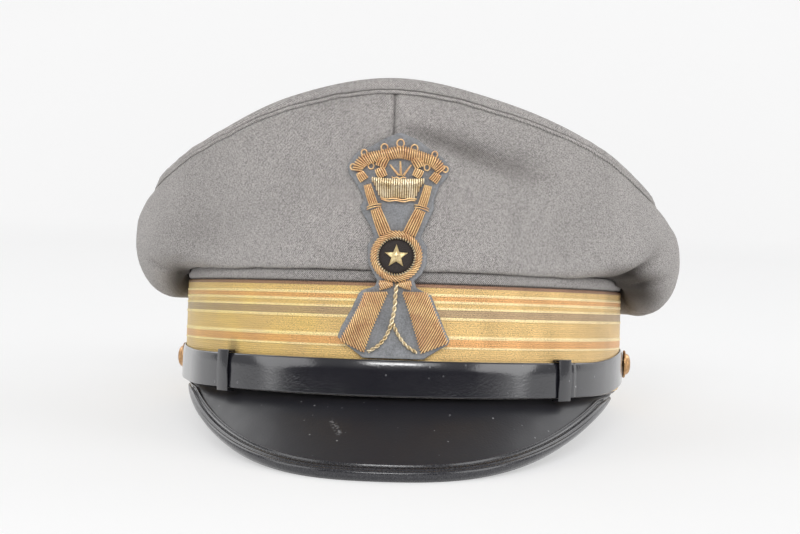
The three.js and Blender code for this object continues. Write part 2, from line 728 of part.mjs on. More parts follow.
// Tips the cap back onto its peak and sets its lowest point on the table, its middle at the origin.
function restingCap() {
  const lying = new THREE.Group();
  lying.name = "lying";
  lying.add(...pieces);
  lying.rotation.x = -radians(REST.tilt);
  lying.updateMatrixWorld(true);
  const box = new THREE.Box3().setFromObject(lying, true);
  const middle = box.getCenter(new THREE.Vector3());
  lying.position.set(-middle.x, -middle.y, -box.min.z);
  const cap = new THREE.Group();
  cap.name = "cap";
  cap.add(lying);
  return cap;
}

export default restingCap();
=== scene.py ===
"""The looks of a peaked uniform cap: wool twill, metal-thread braid, patent leather and a sewn badge.

Sizes in the tables are millimetres in the cap's own frame: its front towards -Y, up +Z, and z = 0
at the headband's lower edge. Every mesh is made there and then laid on the table, tipped back.
Left and right are as seen from the front.
"""

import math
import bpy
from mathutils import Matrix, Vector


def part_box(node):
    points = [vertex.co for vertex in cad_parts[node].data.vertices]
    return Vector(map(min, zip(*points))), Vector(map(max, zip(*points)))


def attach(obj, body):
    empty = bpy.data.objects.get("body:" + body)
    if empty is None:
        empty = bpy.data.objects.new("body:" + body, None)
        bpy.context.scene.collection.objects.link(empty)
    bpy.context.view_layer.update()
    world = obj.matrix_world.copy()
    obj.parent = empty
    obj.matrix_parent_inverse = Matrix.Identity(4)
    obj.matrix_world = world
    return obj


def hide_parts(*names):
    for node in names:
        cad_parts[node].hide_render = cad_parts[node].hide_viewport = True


bl_info = {
    "name": "Peaked cap",
    "version": (1, 0, 0),
    "blender": (4, 5, 0),
    "location": "3D View > Sidebar > Cap",
    "description": "Dresses the solids of a peaked cap with cloth, braid, leather and embroidery",
    "category": "Object",
}

import bmesh
import bpy
from mathutils import Matrix, Vector, noise

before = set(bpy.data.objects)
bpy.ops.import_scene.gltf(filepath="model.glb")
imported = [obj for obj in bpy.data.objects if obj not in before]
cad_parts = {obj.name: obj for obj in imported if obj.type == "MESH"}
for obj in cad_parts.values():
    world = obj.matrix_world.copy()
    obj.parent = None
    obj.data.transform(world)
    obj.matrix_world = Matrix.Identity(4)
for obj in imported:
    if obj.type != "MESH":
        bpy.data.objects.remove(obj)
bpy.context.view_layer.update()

REST_TILT = math.radians(5.96)
BAND = {
    "half_width": 82.0, "half_length": 103.0, "wall": 2.2,
    "height": 42.5, "roll_from": 38.3, "roll_out": 1.35,
}
BRAID_SPAN = {"low": 1.2, "high": 38.0, "back": 0.3, "face": 1.3, "rows": 124}
SEAT_Z = 42.8
WELT = {"half_height": 0.62, "proud": 0.75}
RIM = {
    "swell": 0.8, "swell_rise": 1.9, "crest_in": 1.5, "crest_rise": 4.0,
    "side_share": -0.5, "side_lean": 3.2, "side_flat": 1.7,
}
TOP = {"centre_y": 4.0, "centre_z": 76.0, "sag": 1.5, "rows": 34}
# Two finishes of patent leather: the peak is duller than the strap.
PATENT = {
    "peak_finish": {"shine": 0.5, "coat": 0.12, "dull": 0.4, "creases": 1.1},
    "strap_finish": {"shine": 0.8, "coat": 0.45, "dull": 0.11, "creases": 0.75},
}
# Simple finishes. The grain has a size in millimetres, a detail and a roughness; it turns from one
# colour to the other between two values, is duller at one end than at the other, and stands up.
GRAINED = {
    "binding_leather": {
        "shader": {"Specular_IOR_Level": 0.5, "Coat_Weight": 0.4, "Coat_Roughness": 0.12},
        "grain": (0.5, 3.0, 0.6), "turns": (0.45, 0.75), "dull": (0.16, 0.36), "height": 0.00006,
    },
    "gilt_metal_finish": {
        "shader": {"Metallic": 0.9},
        "grain": (2.5, 4.0, 0.6), "turns": (0.35, 0.6), "dull": (0.42, 0.22), "height": 0.00008,
    },
    "roundel_cloth_finish": {
        "shader": {"Roughness": 0.85, "Sheen_Weight": 0.15},
        "grain": (0.35, 2.0), "turns": (0.35, 0.7), "height": 0.0001,
    },
}
GILT = (0.72, 0.42, 0.2)
DUST_GREY = (0.42, 0.42, 0.43)
WORN_EDGE = (0.06, 0.06, 0.066)
# A scuff on the peak, in metres on the table: its middle, and the ways along and across it.
SCUFF = {"middle": (-0.0157, -0.109, 0.0), "along": (0.41, -0.91, 0.0), "across": (0.91, 0.41, 0.0)}
PEAK = {
    "slope": 32.0, "length": 41.6, "thickness": 1.8, "end": 81.0,
    "seat": -1.2, "fullness": 3.1, "tucked": 1.2,
}
STRAP = {"low": 0.4, "high": 12.4, "leather": 1.0, "end": 95.0, "lap": 48.0}
# Where the strap's face has rows of points, from its lower edge up: more where it bends over.
STRAP_ROWS = (0.015, 0.03, 0.2, 0.4, 0.6, 0.7, 0.76, 0.82, 0.88, 0.92, 0.95, 0.975, 0.99, 1.0)
# How much higher the strap lies at each button, and the degrees round the head that it rises over.
STRAP_RISE = {"from": 55.0, "to": 95.0, "left": 2.0, "right": 4.4}
# Where the upper length climbs over the lower one.
LAP_RISE = {"from": -67.5, "to": -52.5}
SLIDE_ROUNDING = 0.00022  # metres
BUTTON_ANGLES = {"left": -89.0, "right": 89.0}
BUTTON_STANDS_OFF = 0.35
# A button's shank, flat rim and dome: radius, and height over its rim's back.
BUTTON_PROFILE = (
    (0.0, -1.3), (1.0, -1.3), (1.0, 0.0), (4.9, 0.0), (5.3, 0.25), (5.3, 0.65), (5.0, 0.95),
    (4.5, 0.85), (4.2, 1.0), (3.8, 1.9), (3.0, 2.5), (1.8, 2.85), (0.0, 3.0),
)

# The crown in sections round the head, every 22.5 degrees from the back round by the left side:
# the lowest point of the overhang, the widest point, the seam with the top and the upper fullness.
CROWN_COLUMNS = ("under_out", "under_z", "belly_out", "belly_z", "seam_out", "seam_z", "full")
CROWN_FIRST_ANGLE = -157.5
CROWN_SECTIONS = (
    (9.8, 33.4, 19.2, 48.4, 16.2, 62.6, 0.60),
    (9.8, 32.4, 21.6, 49.8, 17.0, 64.4, 0.58),
    (9.6, 31.6, 23.8, 51.8, 17.2, 67.0, 0.56),
    (9.0, 31.8, 24.4, 53.4, 16.2, 69.6, 0.74),
    (2.8, 41.6, 15.7, 52.0, 13.2, 74.8, 0.76),
    (2.2, 42.0, 5.0, 46.0, 10.6, 84.3, 0.60),
    (2.0, 42.2, 3.4, 44.8, 8.2, 95.6, 0.55),
    (2.0, 42.2, 3.2, 44.6, 7.0, 101.0, 0.55),
    (2.0, 42.2, 3.4, 44.8, 8.2, 95.5, 0.55),
    (2.2, 42.0, 5.0, 46.0, 10.7, 86.2, 0.60),
    (3.4, 42.2, 15.9, 51.0, 11.9, 75.0, 0.74),
    (10.0, 30.5, 24.2, 50.0, 14.4, 68.4, 0.76),
    (11.0, 30.0, 24.2, 49.4, 15.2, 65.8, 0.62),
    (11.0, 31.5, 22.0, 48.8, 16.4, 64.0, 0.62),
    (10.5, 33.0, 19.5, 48.0, 16.2, 62.6, 0.62),
    (10.0, 34.0, 18.0, 47.6, 16.0, 62.0, 0.62),
)

# Dents and creases of the crown's sides: where, which way they run, how long, how wide, how deep.
FOLD_COLUMNS = ("angle", "z", "run", "length", "width", "depth")
FOLDS = (
    (14.5, 83.2, -16.0, 14.0, 3.4, 1.7),
    (27.0, 78.0, -12.0, 15.0, 4.6, 1.1),
    (6.0, 87.0, -18.0, 7.0, 2.6, 0.6),
    (-15.0, 46.8, -38.0, 3.0, 0.8, 0.6),
    (-18.5, 50.4, -30.0, 4.0, 1.6, 0.3),
    (-14.7, 95.0, -72.0, 3.4, 0.9, 0.45),
    (-20.0, 92.4, -68.0, 3.0, 0.9, 0.35),
    (-23.8, 90.8, -66.0, 2.6, 0.9, 0.35),
    (-28.0, 88.8, -64.0, 2.6, 0.9, 0.3),
    (-34.0, 85.6, -60.0, 3.0, 1.0, 0.35),
    (-41.0, 81.2, -56.0, 2.4, 0.9, 0.25),
    (-52.0, 54.0, 12.0, 20.0, 9.0, 0.75),
    (-72.0, 41.8, -34.0, 6.5, 1.7, 1.1),
    (-60.0, 45.2, 6.0, 5.0, 1.0, 0.4),
    (42.2, 48.4, 80.0, 1.8, 0.8, 0.35),
    (51.2, 49.2, -30.0, 2.5, 0.8, 0.4),
    (56.0, 47.4, -52.0, 3.2, 0.8, 0.5),
    (66.2, 45.6, 31.0, 6.5, 1.9, 2.4),
    (74.0, 41.6, 12.0, 6.0, 1.6, 1.7),
    (28.0, 58.0, 84.0, 7.0, 2.4, 0.25),
    (40.0, 60.0, 80.0, 8.0, 2.6, 0.25),
    (-84.0, 58.0, 60.0, 9.0, 3.0, 0.4),
    (86.0, 60.0, -58.0, 9.0, 3.0, 0.4),
    (70.0, 50.5, 30.0, 10.0, 4.5, 0.7),
    (118.0, 52.0, 78.0, 10.0, 3.0, 0.7),
    (-121.0, 50.0, 74.0, 9.0, 3.0, 0.7),
    (150.0, 49.0, -80.0, 8.0, 2.6, 0.6),
    (-158.0, 52.0, 82.0, 9.0, 2.8, 0.6),
)

# Painted shade in the recesses past the band's ends: the angles where it begins and is full, and how far out.
POCKETS = {
    "left": {"begins": 58.0, "full": 72.0, "near": 4.5, "far": 12.5},
    "right": {"begins": 48.0, "full": 68.0, "near": 9.5, "far": 20.5},
}
# Where that painted shade fades towards the back, and the heights where it begins, where it is full from and
# to, and where it ends.
POCKET_FADE = {"from": 92.0, "to": 120.0}
POCKET_HEIGHTS = (26.0, 38.0, 42.5, 49.5)

# The braid's woven stripes from the bottom up: where each ends, and which yarn it shows.
BRAID_STRIPES = (
    (16.4, "gold"),
    (17.2, "bright"),
    (19.7, "orange"),
    (20.8, "bright"),
    (26.0, "gold"),
    (27.0, "bright"),
    (29.5, "brown"),
    (30.2, "bright"),
    (31.5, "gold"),
    (32.4, "bright"),
    (33.9, "orange"),
    (34.8, "bright"),
    (36.7, "gold"),
    (38.0, "rust"),
)
# Where the left slide has rubbed the braid dark: round the head and up, in metres.
BRAID_RUB = (-0.067, 0.0142, 0.0)
# The fine ribs that run along the braid, in metres from one to the next.
RIB_PITCH = 0.00072
# How far each yarn's bars stand out.
BRAID_BARS = {"bright": 0.22, "gold": 0.0, "orange": 0.1, "brown": 0.04, "rust": 0.02}

# The badge, by its own axis. Felt outline: height, then how far it reaches left and right.
BADGE = {"axis_x": 2.0, "felt": 1.2, "clearance": 0.4, "foot_z": 13.0, "foot_out": 1.7}
FELT_OUTLINE = (
    (13.0, -10.8, 10.4),
    (14.0, -12.2, 11.8),
    (18.0, -17.6, 18.3),
    (19.6, -19.6, 18.9),
    (23.5, -18.0, 16.8),
    (28.8, -14.9, 14.5),
    (34.4, -12.3, 12.0),
    (35.5, -11.1, 9.2),
    (36.6, -7.1, 7.0),
    (38.8, -6.2, 6.3),
    (41.2, -7.8, 8.6),
    (44.4, -9.4, 10.2),
    (50.4, -9.8, 10.1),
    (53.2, -7.8, 7.9),
    (56.0, -8.7, 9.0),
    (61.3, -12.0, 11.4),
    (63.0, -12.6, 12.0),
    (65.2, -11.2, 11.8),
    (70.4, -14.0, 13.4),
    (73.6, -16.4, 15.9),
    (76.4, -17.1, 16.9),
    (79.3, -15.3, 14.7),
    (81.2, -13.5, 12.4),
    (83.0, -9.0, 9.3),
    (85.4, -5.0, 5.9),
    (87.4, -0.8, 0.9),
)
ROUNDEL = {"z": 46.8, "disc": 5.9, "inner": 6.3, "outer": 8.4, "lift": 1.5, "wires": 47, "whips": 42}

# Padded shapes: (across, z, half width, lift) along a middle line.
PADDED_SHAPES = {
    "coronet_arch": (
        (-13.7, 74.5, 1.3, 1.0), (-12.9, 76.5, 1.7, 1.3), (-11.0, 78.3, 1.9, 1.4), (-7.2, 79.6, 1.7, 1.5),
        (-3.4, 80.3, 1.8, 1.5), (0.3, 81.1, 2.0, 1.5), (4.6, 80.2, 1.9, 1.5), (9.2, 79.1, 1.6, 1.5),
        (12.0, 77.6, 1.8, 1.3), (13.8, 75.2, 1.4, 1.0),
    ),
    "arch_leg_left": ((-4.4, 79.2, 1.5, 1.5), (-5.4, 77.6, 1.8, 1.6), (-5.9, 76.2, 1.7, 1.3)),
    "arch_leg_right": ((4.9, 79.2, 1.5, 1.5), (6.1, 77.6, 1.7, 1.6), (6.8, 76.3, 1.6, 1.3)),
    "leg_foot_left": ((-6.4, 75.7, 1.5, 1.1), (-5.8, 74.4, 1.7, 1.3), (-4.9, 72.8, 1.5, 0.8)),
    "leg_foot_right": ((6.7, 75.6, 1.5, 1.1), (6.2, 74.4, 1.6, 1.3), (5.5, 73.1, 1.3, 0.8)),
    "cuff_left": ((-12.7, 74.2, 1.2, 1.0), (-12.0, 73.0, 1.5, 1.1), (-11.1, 71.7, 1.6, 0.7)),
    "cuff_right": ((12.6, 74.4, 1.3, 1.0), (11.9, 73.2, 1.5, 1.1), (11.0, 71.9, 1.6, 0.7)),
    "stave_left": ((-3.9, 54.2, 2.25, 1.2), (-5.5, 58.0, 2.15, 1.4), (-7.2, 62.3, 1.8, 1.2)),
    "stave_right": ((4.0, 54.2, 2.25, 1.2), (5.6, 58.0, 2.15, 1.4), (7.4, 62.3, 1.8, 1.2)),
    "stave_tip_left": ((-7.8, 63.4, 1.45, 1.1), (-9.1, 67.0, 1.4, 1.2), (-10.1, 70.2, 1.2, 0.9)),
    "stave_tip_right": ((7.8, 63.4, 1.45, 1.1), (8.8, 67.0, 1.4, 1.2), (9.6, 70.4, 1.2, 0.9)),
    "tail_left": (
        (-5.8, 36.4, 3.8, 0.8), (-8.4, 29.5, 3.6, 1.2), (-11.1, 23.6, 3.9, 1.2), (-14.3, 16.6, 4.7, 0.8),
    ),
    "tail_right": (
        (5.8, 36.7, 3.9, 0.8), (8.7, 29.5, 4.1, 1.2), (11.1, 23.4, 4.5, 1.2), (13.8, 16.7, 5.0, 0.8),
    ),
}
# Where wires slant across a shape: how much, and how far its near end is skewed. The rest run along.
SLANTED_WIRES = {"coronet_arch": (0.3, 0.0), "tail_left": (-3.9, 1.6), "tail_right": (3.9, 1.6)}
TIE_SLANT = 0.6
# How far apart wires lie, in radii of a wire.
WIRE_PITCH = {"along": 2.46, "across": 2.8, "tie": 2.3}
TIES = {
    "tie_left": ((-0.9, 37.6, 0.6, 0.9), (-2.8, 37.4, 1.2, 1.1), (-5.3, 37.1, 1.6, 0.9)),
    "tie_right": ((1.0, 37.6, 0.6, 0.9), (2.9, 37.5, 1.2, 1.1), (5.2, 37.4, 1.6, 0.9)),
}
CORD_ROUTES = (
    ((0.5, 37.8), (0.1, 34.0), (0.0, 31.0), (-0.4, 27.5), (-1.4, 23.2)),
    ((-1.4, 23.2), (-3.1, 19.6), (-5.6, 16.9), (-8.7, 15.0)),
    ((-0.4, 24.4), (1.4, 20.8), (4.2, 17.4), (7.8, 15.1)),
)
# The twisted cord and its branches: how far each strand is from the middle, its radius, and its lay.
CORD_TWIST = {"cord": (0.42, 0.36, 4.2), "branches": (0.38, 0.32, 3.8)}
LOOPS = ((4.8, 82.5, 1.05), (11.3, 80.7, 0.9), (14.9, 76.0, 0.85), (9.0, 76.4, 0.9))
TOP_LOOP = (0.3, 84.0, 1.15)
BASKET = {"half": 8.2, "point": 8.5, "foot_z": 66.1, "side_z": 71.3, "rim_z": 72.2, "purls": 23}
# The lines of thread round the basket: height, half width and lift.
BASKET_EDGES = ((66.0, 5.9, 1.0), (65.35, 5.5, 0.8), (72.9, 2.2, 1.5))
# The rays above it: tip across, tip height and foot across.
RAYS = ((-2.9, 76.9, 0.1), (0.4, 78.2, 0.7), (3.9, 77.0, 1.5))
RAY_FOOT_Z = 73.4
STAR = {"point": 4.0, "notch": 1.65}
# Radii of the other threads, in millimetres.
THREADS = {"whipping": 0.21, "purl": 0.29, "edge": 0.27, "ray": 0.2, "loop": 0.27, "stitch": 0.17}

# How many steps each piece is made in, round the head.
ROUND_STEPS = {"headband": 240, "braid": 320, "top": 288, "welt": 360}
QUARTER = {"columns": 92, "rows": 74, "turned_in": 0.9}
# The folded strip on the peak's edge: where it ends, its widest reach and its share of a short peak.
BINDING = {"end": 75.0, "sewn_to": 70.0, "flange": 4.0, "share": 0.45, "over": 1.0}
STITCH = {"turn": 1.2, "every": 2.0, "long": 1.5, "channel": 0.58, "sunk": 0.92}
# A fold this deep is painted in full shade.
FULL_SHADE_DEPTH = 7.8
# How much cloth one row of a quarter, or of the rim, takes, in metres.
ROW_MEASURE = 0.0011
RIM_ROW_MEASURE = 0.0003

# The stage, in metres. Lights: name, size, power's setting and share of it, place, aimed height, roll.
LIGHTS = (
    ("key", (1.2, 0.7), "key_power", 1.0, (0.1, -1.3, 1.0), 0.06, 0.0),
    ("strip", (0.75, 0.17), "strip_power", 1.0, (0.0, -1.35, 0.74), 0.03, 0.0),
    ("left", (0.9, 1.1), "side_power", 0.75, (-1.3, -0.5, 0.6), 0.06, 28.0),
    ("right", (0.9, 1.1), "side_power", 1.0, (1.3, -0.5, 0.6), 0.06, -28.0),
    ("back_left", (0.9, 0.9), "back_power", 1.0, (-1.2, 0.8, 0.95), 0.06, 0.0),
    ("back_right", (0.9, 0.9), "back_power", 1.0, (1.2, 0.8, 0.95), 0.06, 0.0),
)
WORLD = {"bright": (0.9, 0.9, 0.9), "room": (0.06, 0.06, 0.065), "seen": (2.1, 2.1, 2.1)}
SWEEP = {"width": 8.0, "front": 0.8, "flat": 1.2, "radius": 0.9, "height": 3.2}
CAMERA = {"place": (0.0344, -0.6852, 0.11435), "turn": (85.217, -1.4226, 3.1289), "sensor": 36.0}


def lying_matrix():
    """Millimetres in the cap's frame to metres on the table, found from where the headband lies."""
    low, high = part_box("headband")
    half_length = BAND["half_length"] / 1000
    place = Vector((
        (low[0] + high[0]) / 2,
        low[1] + half_length * math.cos(REST_TILT),
        low[2] + half_length * math.sin(REST_TILT),
    ))
    turn = Matrix.Rotation(-REST_TILT, 4, "X")
    return Matrix.Translation(place) @ turn @ Matrix.Scale(0.001, 4)


LYING = lying_matrix()


# Measures of the cap


def mix(a, b, share):
    return a + (b - a) * share


def smoothstep(value, low, high):
    share = min(max((value - low) / (high - low), 0.0), 1.0)
    return share * share * (3 - 2 * share)


def ramp(value, rows, column):
    """A column of a table at a value of its first column, along straight lines."""
    for lower, upper in zip(rows, rows[1:]):
        if value <= upper[0]:
            share = max((value - lower[0]) / (upper[0] - lower[0]), 0.0)
            return mix(lower[column], upper[column], share)
    return rows[-1][column]


def dome(share, spread=1.0):
    """How high a round dome stands at a share of its half width."""
    return math.sqrt(max(1 - (share * spread) ** 2, 0.0))


def catmull_rom(a, b, c, d, t):
    slope_b = (c - a) / 2
    slope_c = (d - b) / 2
    t2 = t * t
    t3 = t2 * t
    near = (2 * t3 - 3 * t2 + 1) * b + (t3 - 2 * t2 + t) * slope_b
    return near + (3 * t2 - 2 * t3) * c + (t3 - t2) * slope_c


def oval_point(angle, out, z):
    """A point that far outwards from the headband's oval; the angle runs from the front."""
    turn = math.radians(angle)
    across = BAND["half_width"]
    along = BAND["half_length"]
    normal = Vector((math.sin(turn) / across, -math.cos(turn) / along)).normalized()
    return Vector((across * math.sin(turn) + out * normal.x, -along * math.cos(turn) + out * normal.y, z))


def arc_length(angle):
    """Roughly how far round the head an angle is from the front."""
    return math.radians(angle) * (BAND["half_width"] + BAND["half_length"]) / 2


def crown_row(angle):
    count = len(CROWN_SECTIONS)
    place = (angle - CROWN_FIRST_ANGLE) / (360 / count)
    first = math.floor(place)
    around = [CROWN_SECTIONS[(first + step) % count] for step in (-1, 0, 1, 2)]
    values = (catmull_rom(*(row[i] for row in around), place - first) for i in range(len(CROWN_COLUMNS)))
    return dict(zip(CROWN_COLUMNS, values))


def seam_waver(angle):
    """Hand sewing: the seam with the top isn't quite even."""
    turn = math.radians(angle)
    place = Vector((5.2 * math.sin(turn), 5.2 * math.cos(turn), 0.0))
    return 0.34 * noise.noise(place * 1.9) + 0.22 * noise.noise(place * 4.1)


def crown_curve(angle):
    """The fold's lowest point, the widest point, the curve's handle over it and the seam."""
    row = crown_row(angle)
    seam_z = row["seam_z"] - WELT["half_height"] - 0.1 + seam_waver(angle)
    under = Vector((row["under_out"], row["under_z"]))
    belly = Vector((row["belly_out"], row["belly_z"]))
    control = Vector((belly.x, belly.y + row["full"] * (seam_z - belly.y)))
    return under, belly, control, Vector((row["seam_out"], seam_z))


def lip_sag(angle):
    """The fold over the band isn't straight: here and there it hangs a little lower."""
    place = Vector((arc_length(angle) / 21, 4.0, 0.0))
    return max(0.55 * noise.noise(place) + 0.25 * noise.noise(place * 2.7) + 0.15, 0.0)


def quarter_arc(start, end, leaves_upright, steps):
    points = []
    for i in range(1, steps + 1):
        turn = math.pi / 2 * i / steps
        ease_in = 1 - math.cos(turn)
        ease_out = math.sin(turn)
        across, up = (ease_in, ease_out) if leaves_upright else (ease_out, ease_in)
        points.append(Vector((mix(start.x, end.x, across), mix(start.y, end.y, up))))
    return points


def bezier(start, control, end, t):
    return start * (1 - t) ** 2 + control * (2 * t * (1 - t)) + end * t * t


def crown_profile(angle):
    """The crown's side in section, from its seat on the headband up to the seam."""
    under, belly, control, seam = crown_curve(angle)
    seat = Vector((-1.4, SEAT_Z))
    lip = Vector((1.5, SEAT_Z - lip_sag(angle)))
    under.y -= lip_sag(angle)
    rise = [bezier(belly, control, seam, i / 30) for i in range(1, 31)]
    return [seat, lip, *quarter_arc(lip, under, True, 8), *quarter_arc(under, belly, False, 10), *rise]


def evenly(points, count):
    """The same line with evenly spaced points."""
    lengths = [0.0]
    for a, b in zip(points, points[1:]):
        lengths.append(lengths[-1] + (b - a).length)
    even = []
    at = 0
    for i in range(count + 1):
        goal = lengths[-1] * i / count
        while at < len(points) - 2 and lengths[at + 1] < goal:
            at += 1
        span = lengths[at + 1] - lengths[at] or 1.0
        even.append(points[at].lerp(points[at + 1], (goal - lengths[at]) / span))
    return even


def smooth_line(points, steps):
    """A curve through points, with that many steps between each two."""
    ends = [points[0], *points, points[-1]]
    line = []
    for a, b, c, d in zip(ends, ends[1:], ends[2:], ends[3:]):
        line += [catmull_rom(a, b, c, d, i / steps) for i in range(steps)]
    return [*line, points[-1]]


def fold_depth(angle, z):
    """How far the crown's side is pushed in by its dents and creases."""
    depth = 0.0
    for row in FOLDS:
        fold = dict(zip(FOLD_COLUMNS, row))
        across = arc_length(angle - fold["angle"])
        up = z - fold["z"]
        run = math.radians(fold["run"])
        along = across * math.cos(run) + up * math.sin(run)
        aside = up * math.cos(run) - across * math.sin(run)
        reach = (along / fold["length"]) ** 2 + (aside / fold["width"]) ** 2
        if reach < 9:
            depth += fold["depth"] * math.exp(-reach)
    return depth


def crown_face_out(angle, z):
    """How far out the crown's side stands at a height."""
    _, belly, control, seam = crown_curve(angle)
    near, far = 0.0, 1.0
    for _ in range(16):
        middle = (near + far) / 2
        if bezier(belly, control, seam, middle).y < z:
            near = middle
        else:
            far = middle
    return bezier(belly, control, seam, near).x


def badge_seat(angle, z):
    """The badge hangs stiffly from the fold of the crown down over the braid."""
    belly = crown_curve(angle)[1]
    if z >= belly.y:
        return crown_face_out(angle, z) + BADGE["clearance"]
    share = (z - BADGE["foot_z"]) / (belly.y - BADGE["foot_z"])
    return mix(BADGE["foot_out"], belly.x + BADGE["clearance"], share)


def between(start, end, steps):
    return [mix(start, end, i / steps) for i in range(steps + 1)]


def badge_point(across, z, lift):
    reach = BAND["half_width"] + 5 * BAND["half_length"] / BAND["half_width"]
    angle = math.degrees(math.asin((BADGE["axis_x"] + across) / reach))
    return oval_point(angle, badge_seat(angle, z) + lift, z)


def over_felt(across, z, lift):
    return badge_point(across, z, BADGE["felt"] + lift)


def over_disc(turn, radius, lift):
    """A point over the badge's disc, by its turn round the disc and its distance from the middle."""
    return over_felt(radius * math.cos(turn), ROUNDEL["z"] + radius * math.sin(turn), lift)


def peak_point(angle, along, lift):
    """The peak is the front of the head oval carried forwards and down."""
    slope = math.radians(PEAK["slope"])
    turn = math.radians(angle)
    run = Vector((0, -math.cos(slope), -math.sin(slope)))
    across = BAND["half_width"] + PEAK["seat"]
    length = BAND["half_length"] + PEAK["seat"]
    side = Vector((across * math.cos(turn), length * math.sin(turn), 0))
    root = Vector((across * math.sin(turn), -length * math.cos(turn), -0.3))
    return root + run * along + run.cross(side).normalized() * lift


def peak_reach(angle):
    share = abs(math.sin(math.radians(angle)) / math.sin(math.radians(PEAK["end"])))
    return max(0.6, PEAK["length"] * (1 - min(share, 1.0) ** PEAK["fullness"]))


def strap_rise(angle):
    most = STRAP_RISE["left"] if angle < 0 else STRAP_RISE["right"]
    return most * smoothstep(abs(angle), STRAP_RISE["from"], STRAP_RISE["to"])


def strap_back(angle, is_over):
    """How far out the strap's back lies: on the braid, or over its other length past the slide."""
    lapped = smoothstep(angle, LAP_RISE["from"], LAP_RISE["to"])
    return 1.6 + (lapped * (STRAP["leather"] + 0.3) if is_over else 0.0)


# Making meshes


def grid_of(points, measures, shades=None):
    """A grid of faces laid over columns of points, with the cloth's own measure as its UV map.

    A second map may hold how much painted shade each point gets, in folds and in recesses.
    """
    columns = len(points) - 1
    rows = len(points[0]) - 1
    bm = bmesh.new()
    bmesh.ops.create_grid(bm, x_segments=columns, y_segments=rows, size=0.5)
    measure = bm.loops.layers.uv.new("measure")
    hollow = bm.loops.layers.uv.new("hollow")
    places = {v: (round((v.co.x + 0.5) * columns), round((v.co.y + 0.5) * rows)) for v in bm.verts}
    for face in bm.faces:
        for loop in face.loops:
            column, row = places[loop.vert]
            loop[measure].uv = measures[column][row]
            loop[hollow].uv = (shades[column][row] if shades else 0.0, 0.0)
    for vert, (column, row) in places.items():
        vert.co = points[column][row]
    return bm


def closed_up(bm):
    """Joins the edges that meet, and closes what is left open at the ends."""
    bmesh.ops.remove_doubles(bm, verts=bm.verts, dist=0.005)
    open_edges = [edge for edge in bm.edges if edge.is_boundary]
    if open_edges:
        bmesh.ops.holes_fill(bm, edges=open_edges, sides=0)
    bmesh.ops.recalc_face_normals(bm, faces=bm.faces)
    return bm


def facing_from(bm, centre):
    """Turns an open sheet's faces away from a point."""
    bmesh.ops.remove_doubles(bm, verts=bm.verts, dist=0.005)
    bm.normal_update()
    outwards = sum((f.calc_center_median() - centre).dot(f.normal) * f.calc_area() for f in bm.faces)
    if outwards < 0:
        bmesh.ops.reverse_faces(bm, faces=bm.faces)
    return bm


def piece_from(bm, name, material, slot, *nodes):
    """Lays the finished mesh on the table as a piece of the cap."""
    bmesh.ops.transform(bm, matrix=LYING, verts=bm.verts)
    for face in bm.faces:
        face.smooth = True
    mesh = bpy.data.meshes.new(name)
    bm.to_mesh(mesh)
    bm.free()
    return piece_of(mesh, name, material, slot, *nodes)


def piece_of(mesh, name, material, slot, *nodes):
    piece = bpy.data.objects.new(name, mesh)
    bpy.context.scene.collection.objects.link(piece)
    mesh.materials.clear()
    mesh.materials.append(material)
    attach(piece, "root")
    if nodes:
        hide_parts(*nodes)
    return piece


def thickened(piece, thickness):
    """Gives an open sheet its thickness, inwards from the face that shows."""
    solid = piece.modifiers.new("thickness", "SOLIDIFY")
    solid.thickness = thickness
    solid.offset = -1
    solid.use_even_offset = True
    return piece


def swept_round(angles, section_at):
    """Sweeps a closed section round the head; the section is a list of (out, z) at an angle."""
    points = []
    measures = []
    for angle in angles:
        section = section_at(angle)
        section = [*section, section[0]]
        points.append([oval_point(angle, out, z) for out, z in section])
        measures.append([(arc_length(angle) / 1000, z / 1000) for _, z in section])
    return closed_up(grid_of(points, measures))


def wires_from(lines, radius, name, material, slot, *nodes, sides=0):
    """Many round wires as one piece. Each line is a list of points in the cap's frame."""
    curve = bpy.data.curves.new(name, "CURVE")
    curve.dimensions = "3D"
    curve.bevel_depth = radius / 1000
    curve.bevel_resolution = sides
    curve.use_fill_caps = True
    for line in lines:
        spline = curve.splines.new("POLY")
        spline.points.add(len(line) - 1)
        for point, place in zip(spline.points, line):
            point.co = (*(LYING @ place), 1.0)
    source = bpy.data.objects.new(name + "_route", curve)
    mesh = bpy.data.meshes.new_from_object(source)
    bpy.data.objects.remove(source)
    bpy.data.curves.remove(curve)
    mesh.name = name
    mesh.shade_smooth()
    return piece_of(mesh, name, material, slot, *nodes)


# Shader helpers


def add_node(tree, kind, inputs=None, **settings):
    node = tree.nodes.new(kind)
    for name, value in settings.items():
        setattr(node, name, value)
    for socket, value in (inputs or {}).items():
        if isinstance(value, bpy.types.NodeSocket):
            tree.links.new(value, node.inputs[socket])
        else:
            node.inputs[socket].default_value = value
    return node


def calc(tree, operation, *values):
    return add_node(tree, "ShaderNodeMath", dict(enumerate(values)), operation=operation).outputs[0]


def total(tree, *terms):
    """Adds up terms, each a value alone or a value and its weight."""
    values = [calc(tree, "MULTIPLY", *term) if isinstance(term, tuple) else term for term in terms]
    added = values[0]
    for value in values[1:]:
        added = calc(tree, "ADD", added, value)
    return added


def part_of(tree, vector, axis):
    return add_node(tree, "ShaderNodeSeparateXYZ", {"Vector": vector}).outputs[axis]


def vector_calc(tree, operation, *values):
    """A step of vector arithmetic; its first output is a vector and its second a value."""
    return add_node(tree, "ShaderNodeVectorMath", dict(enumerate(values)), operation=operation).outputs


def scaled_to(tree, vector, *scale):
    return add_node(tree, "ShaderNodeMapping", {"Vector": vector, "Scale": scale}).outputs[0]


